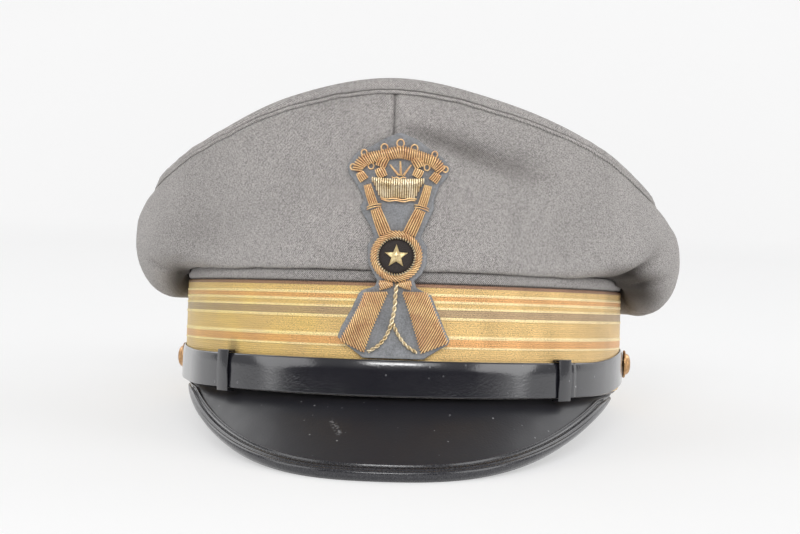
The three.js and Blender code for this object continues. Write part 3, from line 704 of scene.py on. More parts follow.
def blend_colour(tree, share, first, second):
    node = add_node(tree, "ShaderNodeMix", data_type="RGBA")
    for socket, value in ((0, share), (6, first), (7, second)):
        if isinstance(value, bpy.types.NodeSocket):
            tree.links.new(value, node.inputs[socket])
        else:
            node.inputs[socket].default_value = value
    return node.outputs[2]


def noise_at(tree, vector, size, detail=2.0, roughness=0.5):
    """Noise with features of that size in millimetres, on coordinates in metres."""
    inputs = {"Vector": vector, "Scale": 1000 / size, "Detail": detail, "Roughness": roughness}
    return add_node(tree, "ShaderNodeTexNoise", inputs).outputs["Fac"]


def stretch(tree, value, low, high, to_low=0.0, to_high=1.0):
    values = {"Value": value, "From Min": low, "From Max": high, "To Min": to_low, "To Max": to_high}
    return add_node(tree, "ShaderNodeMapRange", values, clamp=True).outputs["Result"]


def new_group(name, inputs, outputs):
    group = bpy.data.node_groups.new(name, "ShaderNodeTree")
    for socket, kind in inputs:
        group.interface.new_socket(name=socket, in_out="INPUT", socket_type=kind)
    for socket, kind in outputs:
        group.interface.new_socket(name=socket, in_out="OUTPUT", socket_type=kind)
    enter = group.nodes.new("NodeGroupInput")
    leave = group.nodes.new("NodeGroupOutput")
    return group, enter.outputs, leave.inputs


def use_group(tree, group, **inputs):
    node = add_node(tree, "ShaderNodeGroup", node_tree=group)
    for socket, value in inputs.items():
        name = socket.replace("_", " ").capitalize()
        if isinstance(value, bpy.types.NodeSocket):
            tree.links.new(value, node.inputs[name])
        else:
            node.inputs[name].default_value = value
    return node.outputs


def new_material(name, **constants):
    """A material with its shader's constant values set; returns it, its tree and its shader."""
    material = bpy.data.materials.new(name)
    material.use_nodes = True
    tree = material.node_tree
    shader = tree.nodes["Principled BSDF"]
    for socket, value in constants.items():
        shader.inputs[socket.replace("_", " ")].default_value = value
    return material, tree, shader


def feed(tree, shader, **values):
    for socket, value in values.items():
        tree.links.new(value, shader.inputs[socket.replace("_", " ")])


def bump_from(tree, shader, height, distance, strength):
    inputs = {"Height": height, "Distance": distance, "Strength": strength}
    bump = add_node(tree, "ShaderNodeBump", inputs)
    feed(tree, shader, Normal=bump.outputs["Normal"])


def colour(values, share=1.0):
    """A colour with its alpha, made darker or paler by a share."""
    return (*(value * share for value in values), 1.0)


def uv_map(tree, name):
    return add_node(tree, "ShaderNodeUVMap", uv_map=name).outputs["UV"]


def object_place(tree):
    return add_node(tree, "ShaderNodeTexCoord").outputs["Object"]


# Finishes


def twill_group():
    """Fine woollen twill: mottled yarn, a faint diagonal rib and fuzz."""
    group, enter, leave = new_group(
        "twill",
        [("Measure", "NodeSocketVector"), ("Place", "NodeSocketVector"), ("Pitch", "NodeSocketFloat")],
        [("Shade", "NodeSocketFloat"), ("Height", "NodeSocketFloat")],
    )
    across = part_of(group, enter["Measure"], "X")
    up = part_of(group, enter["Measure"], "Y")
    diagonal = total(group, across, (up, 1.3))
    cross = total(group, across, (up, -0.8))
    turns = calc(group, "DIVIDE", math.tau, enter["Pitch"])
    rib = calc(group, "SINE", calc(group, "MULTIPLY", diagonal, turns))
    pick = calc(group, "SINE", calc(group, "MULTIPLY", cross, turns))
    yarn = noise_at(group, enter["Place"], 0.34, 2.0, 0.7)
    fleck = noise_at(group, enter["Place"], 0.46, 1.0)
    cloud = noise_at(group, enter["Place"], 22.0, 3.0)
    shade = total(group, yarn, (fleck, 0.7), (cloud, 0.12), (rib, 0.18), (pick, 0.05), -0.36)
    group.links.new(shade, leave["Shade"])
    group.links.new(total(group, yarn, (rib, 0.5)), leave["Height"])
    return group


def dust_group():
    """Dust that has settled on gloss: fine specks in patches, and a haze."""
    group, enter, leave = new_group(
        "dust",
        [("Place", "NodeSocketVector"), ("Amount", "NodeSocketFloat")],
        [("Mask", "NodeSocketFloat"), ("Haze", "NodeSocketFloat")],
    )
    cells = add_node(group, "ShaderNodeTexVoronoi", {"Vector": enter["Place"], "Scale": 420.0})
    grain = stretch(group, cells.outputs["Distance"], 0.08, 0.17, 1.0, 0.0)
    parts = add_node(group, "ShaderNodeSeparateColor", {"Color": cells.outputs["Color"]}).outputs
    chosen = stretch(group, parts[0], 0.8, 0.84)
    patches = stretch(group, noise_at(group, enter["Place"], 14.0, 2.0), 0.42, 0.66)
    mask = calc(group, "MULTIPLY", calc(group, "MULTIPLY", grain, chosen), patches)
    group.links.new(calc(group, "MULTIPLY", mask, enter["Amount"]), leave["Mask"])
    group.links.new(noise_at(group, enter["Place"], 24.0, 4.0, 0.6), leave["Haze"])
    return group


def cloth_material(name, tint, twill):
    """Woollen twill in one colour, mottled by its yarn, with painted shade making it darker and warmer in its
    folds and recesses.
    """
    material, tree, shader = new_material(name, Roughness=0.95, Sheen_Weight=0.08, Sheen_Roughness=0.6)
    weave = use_group(tree, twill, measure=uv_map(tree, "measure"), place=object_place(tree), pitch=0.00085)
    shade = stretch(tree, weave["Shade"], 0.25, 0.85)
    lit = blend_colour(tree, shade, colour(tint, 0.26), colour(tint, 1.8))
    # Painted shade: the sheet's shade map blends the yarn's colour towards a dark, warm tint.
    depth = stretch(tree, part_of(tree, uv_map(tree, "hollow"), "X"), 0.0, 1.0)
    painted_shade_tint = [c * tone for c, tone in zip(tint, (1.25, 1.0, 0.8))]
    feed(tree, shader, Base_Color=blend_colour(tree, depth, lit, colour(painted_shade_tint, 0.07)))
    bump_from(tree, shader, weave["Height"], 0.00018, 0.7)
    return material


def felt_material(name, tint):
    """Pressed felt: no weave, only matted fibre, with painted shade darkening its cut edge."""
    finish = {"Roughness": 1.0, "Sheen_Weight": 0.3, "Sheen_Roughness": 0.7}
    material, tree, shader = new_material(name, **finish)
    place = object_place(tree)
    fibre = noise_at(tree, place, 0.6, 3.0, 0.7)
    cloud = noise_at(tree, place, 5.0, 2.0)
    shade = stretch(tree, total(tree, fibre, (cloud, 0.6)), 0.5, 1.1)
    face = blend_colour(tree, shade, colour(tint, 0.55), colour(tint, 1.42))
    from_edge = part_of(tree, uv_map(tree, "measure"), "X")
    # Painted shade: darker towards the cut edge, within about 0.7 mm of it.
    inside = stretch(tree, total(tree, from_edge, (fibre, 0.0004)), 0.0001, 0.0007)
    feed(tree, shader, Base_Color=blend_colour(tree, inside, colour(tint, 0.45), face))
    bump_from(tree, shader, fibre, 0.0002, 0.6)
    return material


def stripe_colours(tree, settings, height):
    """The braid's stripes by their height up the band."""
    scaled = calc(tree, "DIVIDE", height, BRAID_SPAN["high"] / 1000)
    stripes = add_node(tree, "ShaderNodeValToRGB", {"Fac": scaled})
    stripes.color_ramp.interpolation = "CONSTANT"
    stops = stripes.color_ramp.elements
    low = 0.0
    for index, (high, yarn) in enumerate(BRAID_STRIPES):
        stop = stops[index] if index < len(stops) else stops.new(low)
        stop.position = low
        stop.color = colour(getattr(settings, yarn))
        low = high / BRAID_SPAN["high"]
    return stripes.outputs["Color"]


def braid_material(name, settings):
    """Metal-thread braid: stripes by height, fine ribs along it and painted glints on the threads across it.
    """
    material, tree, shader = new_material(name, Metallic=0.4, Roughness=0.38)
    measure = uv_map(tree, "measure")
    height = part_of(tree, measure, "Y")
    fine = scaled_to(tree, measure, 1.0, 1.7, 1.0)
    thread = noise_at(tree, fine, 0.5, 2.0, 0.75)
    run = noise_at(tree, scaled_to(tree, measure, 0.05, 1.6, 1.0), 1.1, 2.0, 0.6)
    patch = noise_at(tree, measure, 14.0, 3.0)
    rib = calc(tree, "SINE", calc(tree, "MULTIPLY", height, math.tau / RIB_PITCH))
    fleck = stretch(tree, noise_at(tree, fine, 0.62, 1.0), 0.6, 0.7, 0.0, 0.2)
    rubbed = vector_calc(tree, "DISTANCE", measure, BRAID_RUB)["Value"]
    soil = stretch(tree, total(tree, rubbed, (thread, 0.004)), 0.003, 0.0065, 0.2, 0.0)
    # Painted glints: the threads' brightness, lowered by dark flecks and where the left slide has rubbed the
    # braid dirty.
    glint = total(tree, (thread, 1.12), (patch, 0.3), (run, 0.13), (rib, 0.02), (fleck, -1.0), (soil, -1.0))
    stripes = stripe_colours(tree, settings, height)
    aged = total(tree, (part_of(tree, object_place(tree), "X"), -5.0), (patch, 0.8))
    olive = vector_calc(tree, "MULTIPLY", stripes, (0.84, 0.86, 0.6))[0]
    yarn = blend_colour(tree, stretch(tree, aged, 0.35, 0.85), stripes, olive)
    tinted = add_node(tree, "ShaderNodeVectorMath", {0: yarn}, operation="SCALE")
    feed(tree, tinted, Scale=stretch(tree, glint, 0.48, 1.04, 0.32, 1.5))
    feed(tree, shader, Base_Color=tinted.outputs[0])
    bump_from(tree, shader, total(tree, thread, (rib, 0.1)), 0.00025, 0.8)
    return material


def scuff_mask(tree, place):
    """One broken scratch on the peak."""
    away = vector_calc(tree, "SUBTRACT", place, SCUFF["middle"])[0]
    reach = [vector_calc(tree, "DOT_PRODUCT", away, SCUFF[way])["Value"] for way in ("along", "across")]
    along, across = [calc(tree, "ABSOLUTE", value) for value in reach]
    within = stretch(tree, along, 0.0035, 0.0052, 1.0, 0.0)
    narrow = stretch(tree, across, 0.0003, 0.0013, 1.0, 0.0)
    broken = stretch(tree, noise_at(tree, place, 1.1, 2.0), 0.45, 0.62, 0.0, 0.35)
    return calc(tree, "MULTIPLY", calc(tree, "MULTIPLY", within, narrow), broken)


def patent_material(name, settings, dust, finish):
    """Black patent leather: gloss over faintly creased hide, with settled dust."""
    shine = {"Specular_IOR_Level": finish["shine"], "Coat_Weight": finish["coat"], "Coat_Roughness": 0.19}
    material, tree, shader = new_material(name, **shine)
    place = object_place(tree)
    specks = use_group(tree, dust, place=place, amount=settings.dust)
    marks = calc(tree, "MAXIMUM", specks["Mask"], scuff_mask(tree, place))
    dull = finish["dull"]
    feed(
        tree, shader,
        Base_Color=blend_colour(tree, marks, colour(settings.leather), colour(DUST_GREY)),
        Roughness=stretch(tree, specks["Haze"], 0.35, 0.7, dull, dull + 0.1),
    )
    ripple = noise_at(tree, place, 0.8, 1.0)
    swell = noise_at(tree, place, 13.0, 1.0)
    bump_from(tree, shader, total(tree, (ripple, finish["creases"]), (swell, 4.0)), 0.00005, 0.8)
    return material


def thread_material(name, tint, glint, metallic=0.45):
    """Metal thread: bright where it is new and where glints are painted on it, darker and browner where it
    has tarnished.
    """
    material, tree, shader = new_material(name, Metallic=metallic, Roughness=0.3)
    place = object_place(tree)
    tarnish = noise_at(tree, place, 4.0, 2.0, 0.5)
    spark = noise_at(tree, place, 0.7, 1.0)
    # Painted glints: the spark noise brightens the thread towards its glint colour.
    shade = stretch(tree, total(tree, tarnish, (spark, 0.7)), 0.6, 1.1)
    feed(tree, shader, Base_Color=blend_colour(tree, shade, colour(tint, 0.74), colour(glint)))
    bump_from(tree, shader, spark, 0.00006, 0.6)
    return material


def grained_material(name, first, second):
    """One of the simple finishes: two colours that meet in a grain, which also stands up a little."""
    plan = GRAINED[name]
    material, tree, shader = new_material(name, **plan["shader"])
    grain = noise_at(tree, object_place(tree), *plan["grain"])
    turned = stretch(tree, grain, *plan["turns"])
    feed(tree, shader, Base_Color=blend_colour(tree, turned, first, second))
    if "dull" in plan:
        feed(tree, shader, Roughness=stretch(tree, grain, 0.3, 0.7, *plan["dull"]))
    bump_from(tree, shader, grain, plan["height"], 0.5)
    return material


def floor_material(tint, glow):
    """A pale sweep of studio paper, lit on its own away from the cap."""
    white = (1.0, 1.0, 1.0, 1.0)
    material, tree, shader = new_material("studio_paper", Roughness=0.9, Emission_Color=white)
    place = object_place(tree)
    shadow = noise_at(tree, place, 60.0, 2.0)
    away = vector_calc(tree, "LENGTH", place)["Value"]
    feed(
        tree, shader,
        Base_Color=blend_colour(tree, shadow, colour(tint, 0.985), colour(tint)),
        Emission_Strength=calc(tree, "MULTIPLY", stretch(tree, away, 0.9, 1.9, 1.0, 1.28), glow),
    )
    return material


def finish_named(name, make, *values):
    """A material that several pieces share, made the first time it is asked for."""
    return bpy.data.materials.get(name) or make(name, *values)


def group_named(name, make):
    return bpy.data.node_groups.get(name) or make()


# Settings


def number(name, description, default, most=None, **kind):
    """A setting that can't be negative."""
    limits = {"min": 0.0} if most is None else {"min": 0.0, "max": most}
    return bpy.props.FloatProperty(name=name, description=description, default=default, **limits, **kind)


def size_property(name, description, default):
    return number(name, description, default, unit="LENGTH")


def power_property(name, description, default):
    return number(name, description, default, unit="POWER")


def factor_property(name, description, default, most=2.0):
    return number(name, description, default, most, subtype="FACTOR")


def colour_property(name, description, default):
    return bpy.props.FloatVectorProperty(
        name=name, description=description, default=default, subtype="COLOR", size=3, min=0.0, max=1.0
    )


class ClothSettings(bpy.types.PropertyGroup):
    thickness: size_property("Thickness", "Thickness of the crown's cloth", 0.0018)
    folds: factor_property("Folds", "How deep the dents and creases are", 1.9, 4.0)
    grey: colour_property("Grey", "Colour of the wool", (0.36, 0.34, 0.328))
    # Painted shade: the band's wool is a darker copy of the crown's.
    band_painted_shade: factor_property("Band shade", "How the band's wool compares with the crown's", 0.84)


class BraidSettings(bpy.types.PropertyGroup):
    gold: colour_property("Gold", "Ground yarn", (0.78, 0.53, 0.22))
    bright: colour_property("Bright", "Yarn of the raised bars", (1.0, 0.78, 0.42))
    orange: colour_property("Orange", "Yarn of the orange stripes", (0.80, 0.43, 0.17))
    brown: colour_property("Brown", "Yarn of the brown stripe", (0.50, 0.35, 0.20))
    rust: colour_property("Rust", "Yarn of the upper edge", (0.34, 0.19, 0.12))


class LeatherSettings(bpy.types.PropertyGroup):
    leather: colour_property("Leather", "Colour of the patent leather", (0.013, 0.013, 0.0175))
    dust: factor_property("Dust", "How much dust has settled on the gloss", 1.0)


class BadgeSettings(bpy.types.PropertyGroup):
    felt: colour_property("Felt", "Colour of the badge's felt", (0.225, 0.232, 0.245))
    orange_gold: colour_property("Orange gold", "Colour of the padded metal thread", (0.96, 0.54, 0.28))
    pale_gold: colour_property("Pale gold", "Colour of the fine metal thread", (0.88, 0.66, 0.35))
    purl_glint: colour_property("Purl glint", "Where the basket's purl shines", (1.0, 0.88, 0.64))
    velvet: colour_property("Velvet", "Colour of the disc", (0.022, 0.017, 0.016))
    wire: size_property("Wire", "Radius of one metal thread", 0.00026)


class StageSettings(bpy.types.PropertyGroup):
    floor: colour_property("Floor", "Colour of the studio paper", (0.42, 0.42, 0.422))
    key_power: power_property("Key", "Power of the front light", 7.0)
    strip_power: power_property("Strip", "Power of the low front light", 4.4)
    side_power: power_property("Sides", "Power of the side lights", 8.0)
    back_power: power_property("Back", "Power of the back lights", 3.5)
    surroundings: factor_property("Surroundings", "Brightness of the surroundings", 0.42)
    glow: factor_property("Glow", "How much the paper is lit on its own", 0.5)
    lens: bpy.props.FloatProperty(name="Lens", description="Focal length in millimetres", default=80.73)


# Pieces


def full_circle(steps):
    return [360 * i / steps - 180 for i in range(steps + 1)]


def cloth(name="wool", light=1.0):
    settings = bpy.context.scene.cap_cloth
    twill = group_named("twill", twill_group)
    # Below one, light makes a darker copy of the wool: painted shade, as on the band.
    tint = [c * light for c in settings.grey]
    return finish_named(name, cloth_material, tint, twill)


def patent(name):
    dust = group_named("dust", dust_group)
    settings = bpy.context.scene.cap_leather
    return finish_named(name, patent_material, settings, dust, PATENT[name])


def headband_section(angle):
    """The cloth band with its rounded roll along the top."""
    height = BAND["height"]
    roll_from = BAND["roll_from"]
    middle = (roll_from + height) / 2
    half = (height - roll_from) / 2
    roll = []
    for i in range(13):
        turn = math.pi * (i / 12 - 0.5)
        slack = 0.12 * noise.noise(Vector((arc_length(angle) / 9, i * 0.4, 3.0)))
        out = BAND["roll_out"] * math.cos(turn) ** 0.7 + slack * math.cos(turn)
        roll.append((out, middle + half * math.sin(turn)))
    back = -BAND["wall"]
    inside = [(back, height), (back, height / 2), (back, 0.3), (back + 0.3, 0.0)]
    return [(-0.3, 0.0), (0.0, 0.3), (0.0, roll_from - 1), *roll, *inside]


def braid_relief(z):
    """How far the braid's bars stand out at a height."""
    low = BRAID_SPAN["low"]
    for high, yarn in BRAID_STRIPES:
        if z <= high:
            return BRAID_BARS[yarn] * dome((z - (low + high) / 2) / ((high - low) / 2))
        low = high
    return 0.0


def braid_section(angle):
    low = BRAID_SPAN["low"]
    high = BRAID_SPAN["high"]
    face = []
    around = arc_length(angle)
    for z in between(low, high, BRAID_SPAN["rows"]):
        waver = 0.1 * noise.noise(Vector((around / 30, z / 9, 0.0)))
        edge = 0.3 * (1 - min((z - low) / 0.5, (high - z) / 0.5, 1.0))
        slack = 0.14 * noise.noise(Vector((around / 22, z / 14, 8.0)))
        face.append((BRAID_SPAN["face"] - edge + braid_relief(z + waver) + slack, z))
    return [(BRAID_SPAN["back"], low), *face, (BRAID_SPAN["back"], high)]


def pocket_shade(angle, out, z):
    """How much painted shade a point gets in the recess where the crown swells out past the band's ends."""
    pocket = POCKETS["left" if angle < 0 else "right"]
    ahead = smoothstep(abs(angle), pocket["begins"], pocket["full"])
    behind = 1 - 0.7 * smoothstep(abs(angle), POCKET_FADE["from"], POCKET_FADE["to"])
    inside = 1 - smoothstep(out, pocket["near"], pocket["far"])
    low, deep_low, deep_high, high = POCKET_HEIGHTS
    between_heights = smoothstep(z, low, deep_low) * (1 - smoothstep(z, deep_high, high))
    return ahead * behind * inside * between_heights


def quarter_sheet(start, end):
    """One quarter of the crown's side, its edges turned in at the seams, with painted shade in its folds and
    in the recesses past the band's ends.
    """
    rows = QUARTER["rows"]
    strength = bpy.context.scene.cap_cloth.folds
    points = []
    measures = []
    shades = []
    for angle in between(start, end, QUARTER["columns"]):
        shade = []
        from_seam = arc_length(min(abs(angle - start), abs(end - angle)))
        turned_in = QUARTER["turned_in"] * math.exp(-((from_seam / 0.75) ** 2))
        column = []
        for row, (out, z) in enumerate(evenly(crown_profile(angle), rows)):
            place = oval_point(angle, out, z)
            up = row / rows
            loose = smoothstep(up, 0.05, 0.14) * (1 - smoothstep(up, 0.95, 1.0))
            sag = 0.32 * noise.noise(place / 17.0) + 0.14 * noise.noise(place / 6.0)
            sag *= smoothstep(up, 0.1, 0.3)
            fold = fold_depth(angle, z) * strength * loose
            column.append(oval_point(angle, out - turned_in - fold + sag * loose, z))
            # Painted shade: darker the deeper a fold is, and in the recesses past the band's ends.
            shade.append(min(fold / FULL_SHADE_DEPTH + pocket_shade(angle, out, z), 1.0))
        points.append(column)
        shades.append(shade)
        measures.append([(arc_length(angle) / 1000, row * ROW_MEASURE) for row in range(rows + 1)])
    return facing_from(grid_of(points, measures, shades), Vector((0, 0, 50)))


def sidewards(angle):
    """None at the front and back, and one at the sides."""
    return math.sin(math.radians(angle)) ** 2


def rim_profile(angle):
    """The top's section at an angle: up the wired rim, over it, and in towards the middle."""
    row = crown_row(angle)
    side = sidewards(angle)
    rise = RIM["crest_rise"] * (1 + RIM["side_share"] * side)
    foot = row["seam_z"] + WELT["half_height"] + 0.1 + seam_waver(angle)
    crest_z = row["seam_z"] + 0.75 + rise
    out = row["seam_out"]
    lean = RIM["side_lean"] * side
    swell = RIM["swell"] * (1 - RIM["side_flat"] * side)
    wire = [
        (out - 1.0, foot),
        (out + 0.25 * (1 - side), foot + 0.05),
        (out + swell * 0.85, foot + 0.7),
        (out + swell, foot + RIM["swell_rise"]),
        (out + swell * 0.7 - lean * 0.45, mix(foot, crest_z, 0.72)),
        (out - 0.2 - lean * 0.8, crest_z - 0.35),
        (out - RIM["crest_in"] - lean, crest_z),
    ]
    return smooth_line([Vector(p) for p in wire], 4), crest_z


def top_sheet():
    inner_rows = TOP["rows"]
    points = []
    measures = []
    for angle in full_circle(ROUND_STEPS["top"]):
        wire, crest_z = rim_profile(angle)
        column = [oval_point(angle, p.x, p.y) for p in wire]
        crest = column[-1]
        for i in range(1, inner_rows + 1):
            share = 1 - i / inner_rows
            z = mix(TOP["centre_z"], crest_z, share ** TOP["sag"])
            place = Vector((crest.x * share, mix(TOP["centre_y"], crest.y, share), z))
            pull = 0.12 * math.sin(math.radians(angle) * 16) * smoothstep(share, 0.75, 0.98)
            free = smoothstep(1 - share, 0.0, 0.06) * min(share * 6, 1)
            place.z += (0.5 * noise.noise(place / 32.0) + pull) * free
            column.append(place)
        points.append(column)
        rim_measure = [(arc_length(angle) / 1000, row * RIM_ROW_MEASURE) for row in range(len(wire))]
        measures.append(rim_measure + [(p.x / 1000, p.y / 1000) for p in column[len(wire):]])
    return facing_from(grid_of(points, measures), Vector((0, 0, 20)))


def welt_section(angle):
    row = crown_row(angle)
    centre_z = row["seam_z"] + seam_waver(angle)
    proud = WELT["proud"] * (1 - 0.45 * sidewards(angle))
    section = []
    for i in range(10):
        turn = math.tau * i / 10
        out = row["seam_out"] + 0.05 + proud * math.cos(turn)
        section.append((out, centre_z + WELT["half_height"] * math.sin(turn)))
    return section


def peak_sheet():
    points = []
    measures = []
    for angle in between(-PEAK["end"], PEAK["end"], 130):
        reach = peak_reach(angle)
        column = []
        for share in between(0, 1, 24):
            arch = 0.5 * math.sin(math.pi * share) * reach / PEAK["length"]
            column.append(peak_point(angle, mix(-PEAK["tucked"], reach, share), arch))
        points.append(column)
        measures.append([(p.x / 1000, p.y / 1000) for p in column])
    return facing_from(grid_of(points, measures), Vector((0, -40, -160)))


def edge_frame(angle):
    """The peak's edge at an angle, the way out from it in the sheet, and the sheet's up."""
    edge = peak_point(angle, peak_reach(angle), 0)
    ahead = peak_point(angle + 0.5, peak_reach(angle + 0.5), 0)
    behind = peak_point(angle - 0.5, peak_reach(angle - 0.5), 0)
    up = (peak_point(angle, 0, 1) - peak_point(angle, 0, 0)).normalized()
    outwards = (ahead - behind).normalized().cross(up).normalized()
    return edge, outwards, up


def binding_flange(angle):
    return min(BINDING["flange"], peak_reach(angle) * BINDING["share"])


def binding_profile(flange):
    """The folded strip in section: a thin raised inner lip, a channel, and two beads on its edge."""
    below = -PEAK["thickness"]
    over = BINDING["over"]
    return [
        (-flange, 0.1), (-flange, over - 0.3), (-flange * 0.96, over + 0.02), (-flange * 0.91, over + 0.12),
        (-flange * 0.86, over), (-flange * 0.82, over - 0.3), (-flange * 0.7, over - 0.42),
        (-flange * 0.5, over - 0.38), (-flange * 0.44, over - 0.1), (-flange * 0.36, over + 0.05),
        (-flange * 0.27, over - 0.05), (-flange * 0.21, over - 0.2), (-flange * 0.15, over),
        (-flange * 0.05, over + 0.12), (0.35, over), (0.85, over * 0.5), (1.1, below / 2), (0.9, below - 0.5),
        (0.3, below - over * 0.85), (-flange * 0.3, below - over), (-flange * 0.9, below - over),
        (-flange, below - over + 0.3), (-flange, below - 0.1),
    ]


def binding_strip():
    points = []
    measures = []
    for angle in between(-BINDING["end"], BINDING["end"], 200):
        edge, outwards, up = edge_frame(angle)
        section = binding_profile(binding_flange(angle))
        section.append(section[0])
        points.append([edge + outwards * s + up * n for s, n in section])
        measures.append([(arc_length(angle) / 1000, s / 1000) for s, _ in section])
    return closed_up(grid_of(points, measures))


def binding_stitches():
    """Stitches sunk in the binding's channel."""
    lines = []
    angle = -BINDING["sewn_to"]
    while angle < BINDING["sewn_to"]:
        edge, outwards, up = edge_frame(angle)
        following, next_outwards, next_up = edge_frame(angle + STITCH["turn"])
        step = (following - edge).length
        share = STITCH["channel"] * binding_flange(angle)
        start = edge - outwards * share + up * STITCH["sunk"]
        end = following - next_outwards * share + next_up * STITCH["sunk"]
        middle = (start + end) / 2 + up * 0.12
        lines.append([start, middle, start.lerp(end, min(1.0, STITCH["long"] / step) * 0.98)])
        angle += STITCH["turn"] * STITCH["every"] / step
    return lines


def strap_section(angle, is_over):
    """The strap in section: flat backed, its face a little crowned and its edges rounded."""
    back = strap_back(angle, is_over)
    face = back + STRAP["leather"]
    rise = strap_rise(angle)
    low = STRAP["low"] + rise
    high = STRAP["high"] + rise
    profile = [(back, low + 0.2), (back + 0.2, low), (face - 0.25, low), (face - 0.08, low + 0.06)]
    for share in STRAP_ROWS:
        bent = max(share - 0.68, 0.0) / 0.32
        edge = min(max(share - 0.95, 0.0) / 0.05, 1.0)
        fall = 0.62 * bent * bent + 0.35 * (1 - dome(edge))
        profile.append((face - fall, mix(low, high, share)))
    return [*profile, (back + 0.2, high), (back, high - 0.2)]


def strap_strip(start, end, is_over):
    return swept_round(between(start, end, 150), lambda angle: strap_section(angle, is_over))


def softened_copy(node, width):
    """A copy of one of the solids with its sharp edges rounded."""
    bm = bmesh.new()
    bm.from_mesh(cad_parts[node].data)
    bmesh.ops.remove_doubles(bm, verts=bm.verts, dist=1e-6)
    sharp = [e for e in bm.edges if e.is_manifold and e.calc_face_angle(0) > math.radians(35)]
    bmesh.ops.bevel(
        bm, geom=sharp, offset=width, offset_type="OFFSET", segments=3, profile=0.5,
        affect="EDGES", material=-1, clamp_overlap=True,
    )
    for face in bm.faces:
        face.smooth = True
    mesh = bpy.data.meshes.new(node + "_soft")
    bm.to_mesh(mesh)
    bm.free()
    return mesh


def button_mesh(angle):
    """A domed button turned from its profile, set square to the middle of the strap."""
    seat = strap_back(angle, False) + STRAP["leather"] + BUTTON_STANDS_OFF
    bm = bmesh.new()
    verts = [bm.verts.new((radius, 0, seat + height)) for radius, height in BUTTON_PROFILE]
    edges = [bm.edges.new(pair) for pair in zip(verts, verts[1:])]
    bmesh.ops.spin(
        bm, geom=verts + edges, cent=(0, 0, 0), axis=(0, 0, 1), angle=math.tau, steps=40, use_merge=True
    )
    bmesh.ops.remove_doubles(bm, verts=bm.verts, dist=0.005)
    bmesh.ops.recalc_face_normals(bm, faces=bm.faces)
    middle_z = (STRAP["low"] + STRAP["high"]) / 2 + strap_rise(angle)
    base = oval_point(angle, 0, middle_z)
    outwards = (oval_point(angle, 1, middle_z) - base).normalized()
    turn = outwards.to_track_quat("Z", "Y").to_matrix().to_4x4()
    bmesh.ops.transform(bm, matrix=Matrix.Translation(base) @ turn, verts=bm.verts)
    return bm


# Pieces of the badge


def felt_sheet():
    rows = between(FELT_OUTLINE[0][0], FELT_OUTLINE[-1][0], 150)
    points = []
    measures = []
    for share in between(0, 1, 26):
        column = []
        edge_column = []
        for z in rows:
            fray = 0.16 * noise.noise(Vector((share * 3, z / 1.6, 5.0)))
            left = ramp(z, FELT_OUTLINE, 1) + fray
            right = ramp(z, FELT_OUTLINE, 2) + fray
            across = mix(left, right, share)
            from_edge = min(share, 1 - share) * (right - left)
            uneven = 0.15 * noise.noise(Vector((across / 5, z / 5, 0)))
            lift = BADGE["felt"] + uneven - 0.25 * math.exp(-from_edge / 0.5)
            column.append(badge_point(across, z, lift))
            edge_column.append((from_edge / 1000, z / 1000))
        points.append(column)
        measures.append(edge_column)
    return facing_from(grid_of(points, measures), Vector((0, 0, 50)))


def middle_line(rows):
    """A padded shape's length, and where its middle is at a length: across, z, half width, lift, aside."""
    columns = [smooth_line([row[i] for row in rows], 8) for i in range(4)]
    line = list(zip(*columns))
    lengths = [0.0]
    for a, b in zip(line, line[1:]):
        lengths.append(lengths[-1] + math.hypot(b[0] - a[0], b[1] - a[1]))
    table = [(length, *row) for length, row in zip(lengths, line)]

    def place(length):
        here = [ramp(length, table, i) for i in range(1, 5)]
        ahead = [ramp(min(length + 0.1, lengths[-1]), table, i) for i in (1, 2)]
        back = [ramp(max(length - 0.1, 0.0), table, i) for i in (1, 2)]
        run = Vector((ahead[0] - back[0], ahead[1] - back[1])).normalized()
        return (*here, Vector((run.y, -run.x)))

    return place, lengths[-1]


def padded_point(place, share, lift_share):
    """A point on a padded shape: where along it, how far across it, and how high on its dome."""
    across, z, half, lift, aside = place
    spot = Vector((across, z)) + aside * half * share
    return over_felt(spot.x, spot.y, 0.3 + lift * lift_share)


def kept_span(span, offset, gain):
    """The part of a span of shares where offset + gain * share isn't negative."""
    low, high = span
    if gain == 0:
        return span if offset >= 0 else (high, low)
    edge = -offset / gain
    return (max(low, edge), high) if gain > 0 else (low, min(high, edge))


def along_wires(rows, pitch):
    """Wires laid side by side along a padded shape."""
    place, length = middle_line(rows)
    half = sum(row[2] for row in rows) / len(rows)
    count = max(round(1.7 * half / pitch) + 1, 3)
    ways = between(0, length, 8)
    shares = between(-0.85, 0.85, count - 1)
    return [[padded_point(place(at), share, 0.2 + 0.8 * dome(share)) for at in ways] for share in shares]


def slanted_wires(rows, pitch, slant, skew=0.0):
    """Wires laid side by side over a padded shape, slanting from edge to edge."""
    place, length = middle_line(rows)
    half = sum(row[2] for row in rows) / len(rows)
    lines = []
    start = -abs(slant)
    while start < length + abs(slant):
        span = kept_span((-1.0, 1.0), start - skew, slant + math.copysign(skew, slant))
        low, high = kept_span(span, length - start, -slant)
        if high - low > 0.15:
            lines.append([
                padded_point(place(start + slant * share), share, 0.25 + 0.75 * dome(share, 0.96))
                for share in between(low, high, 9)
            ])
        start += pitch * math.hypot(slant, half) / half
    return lines


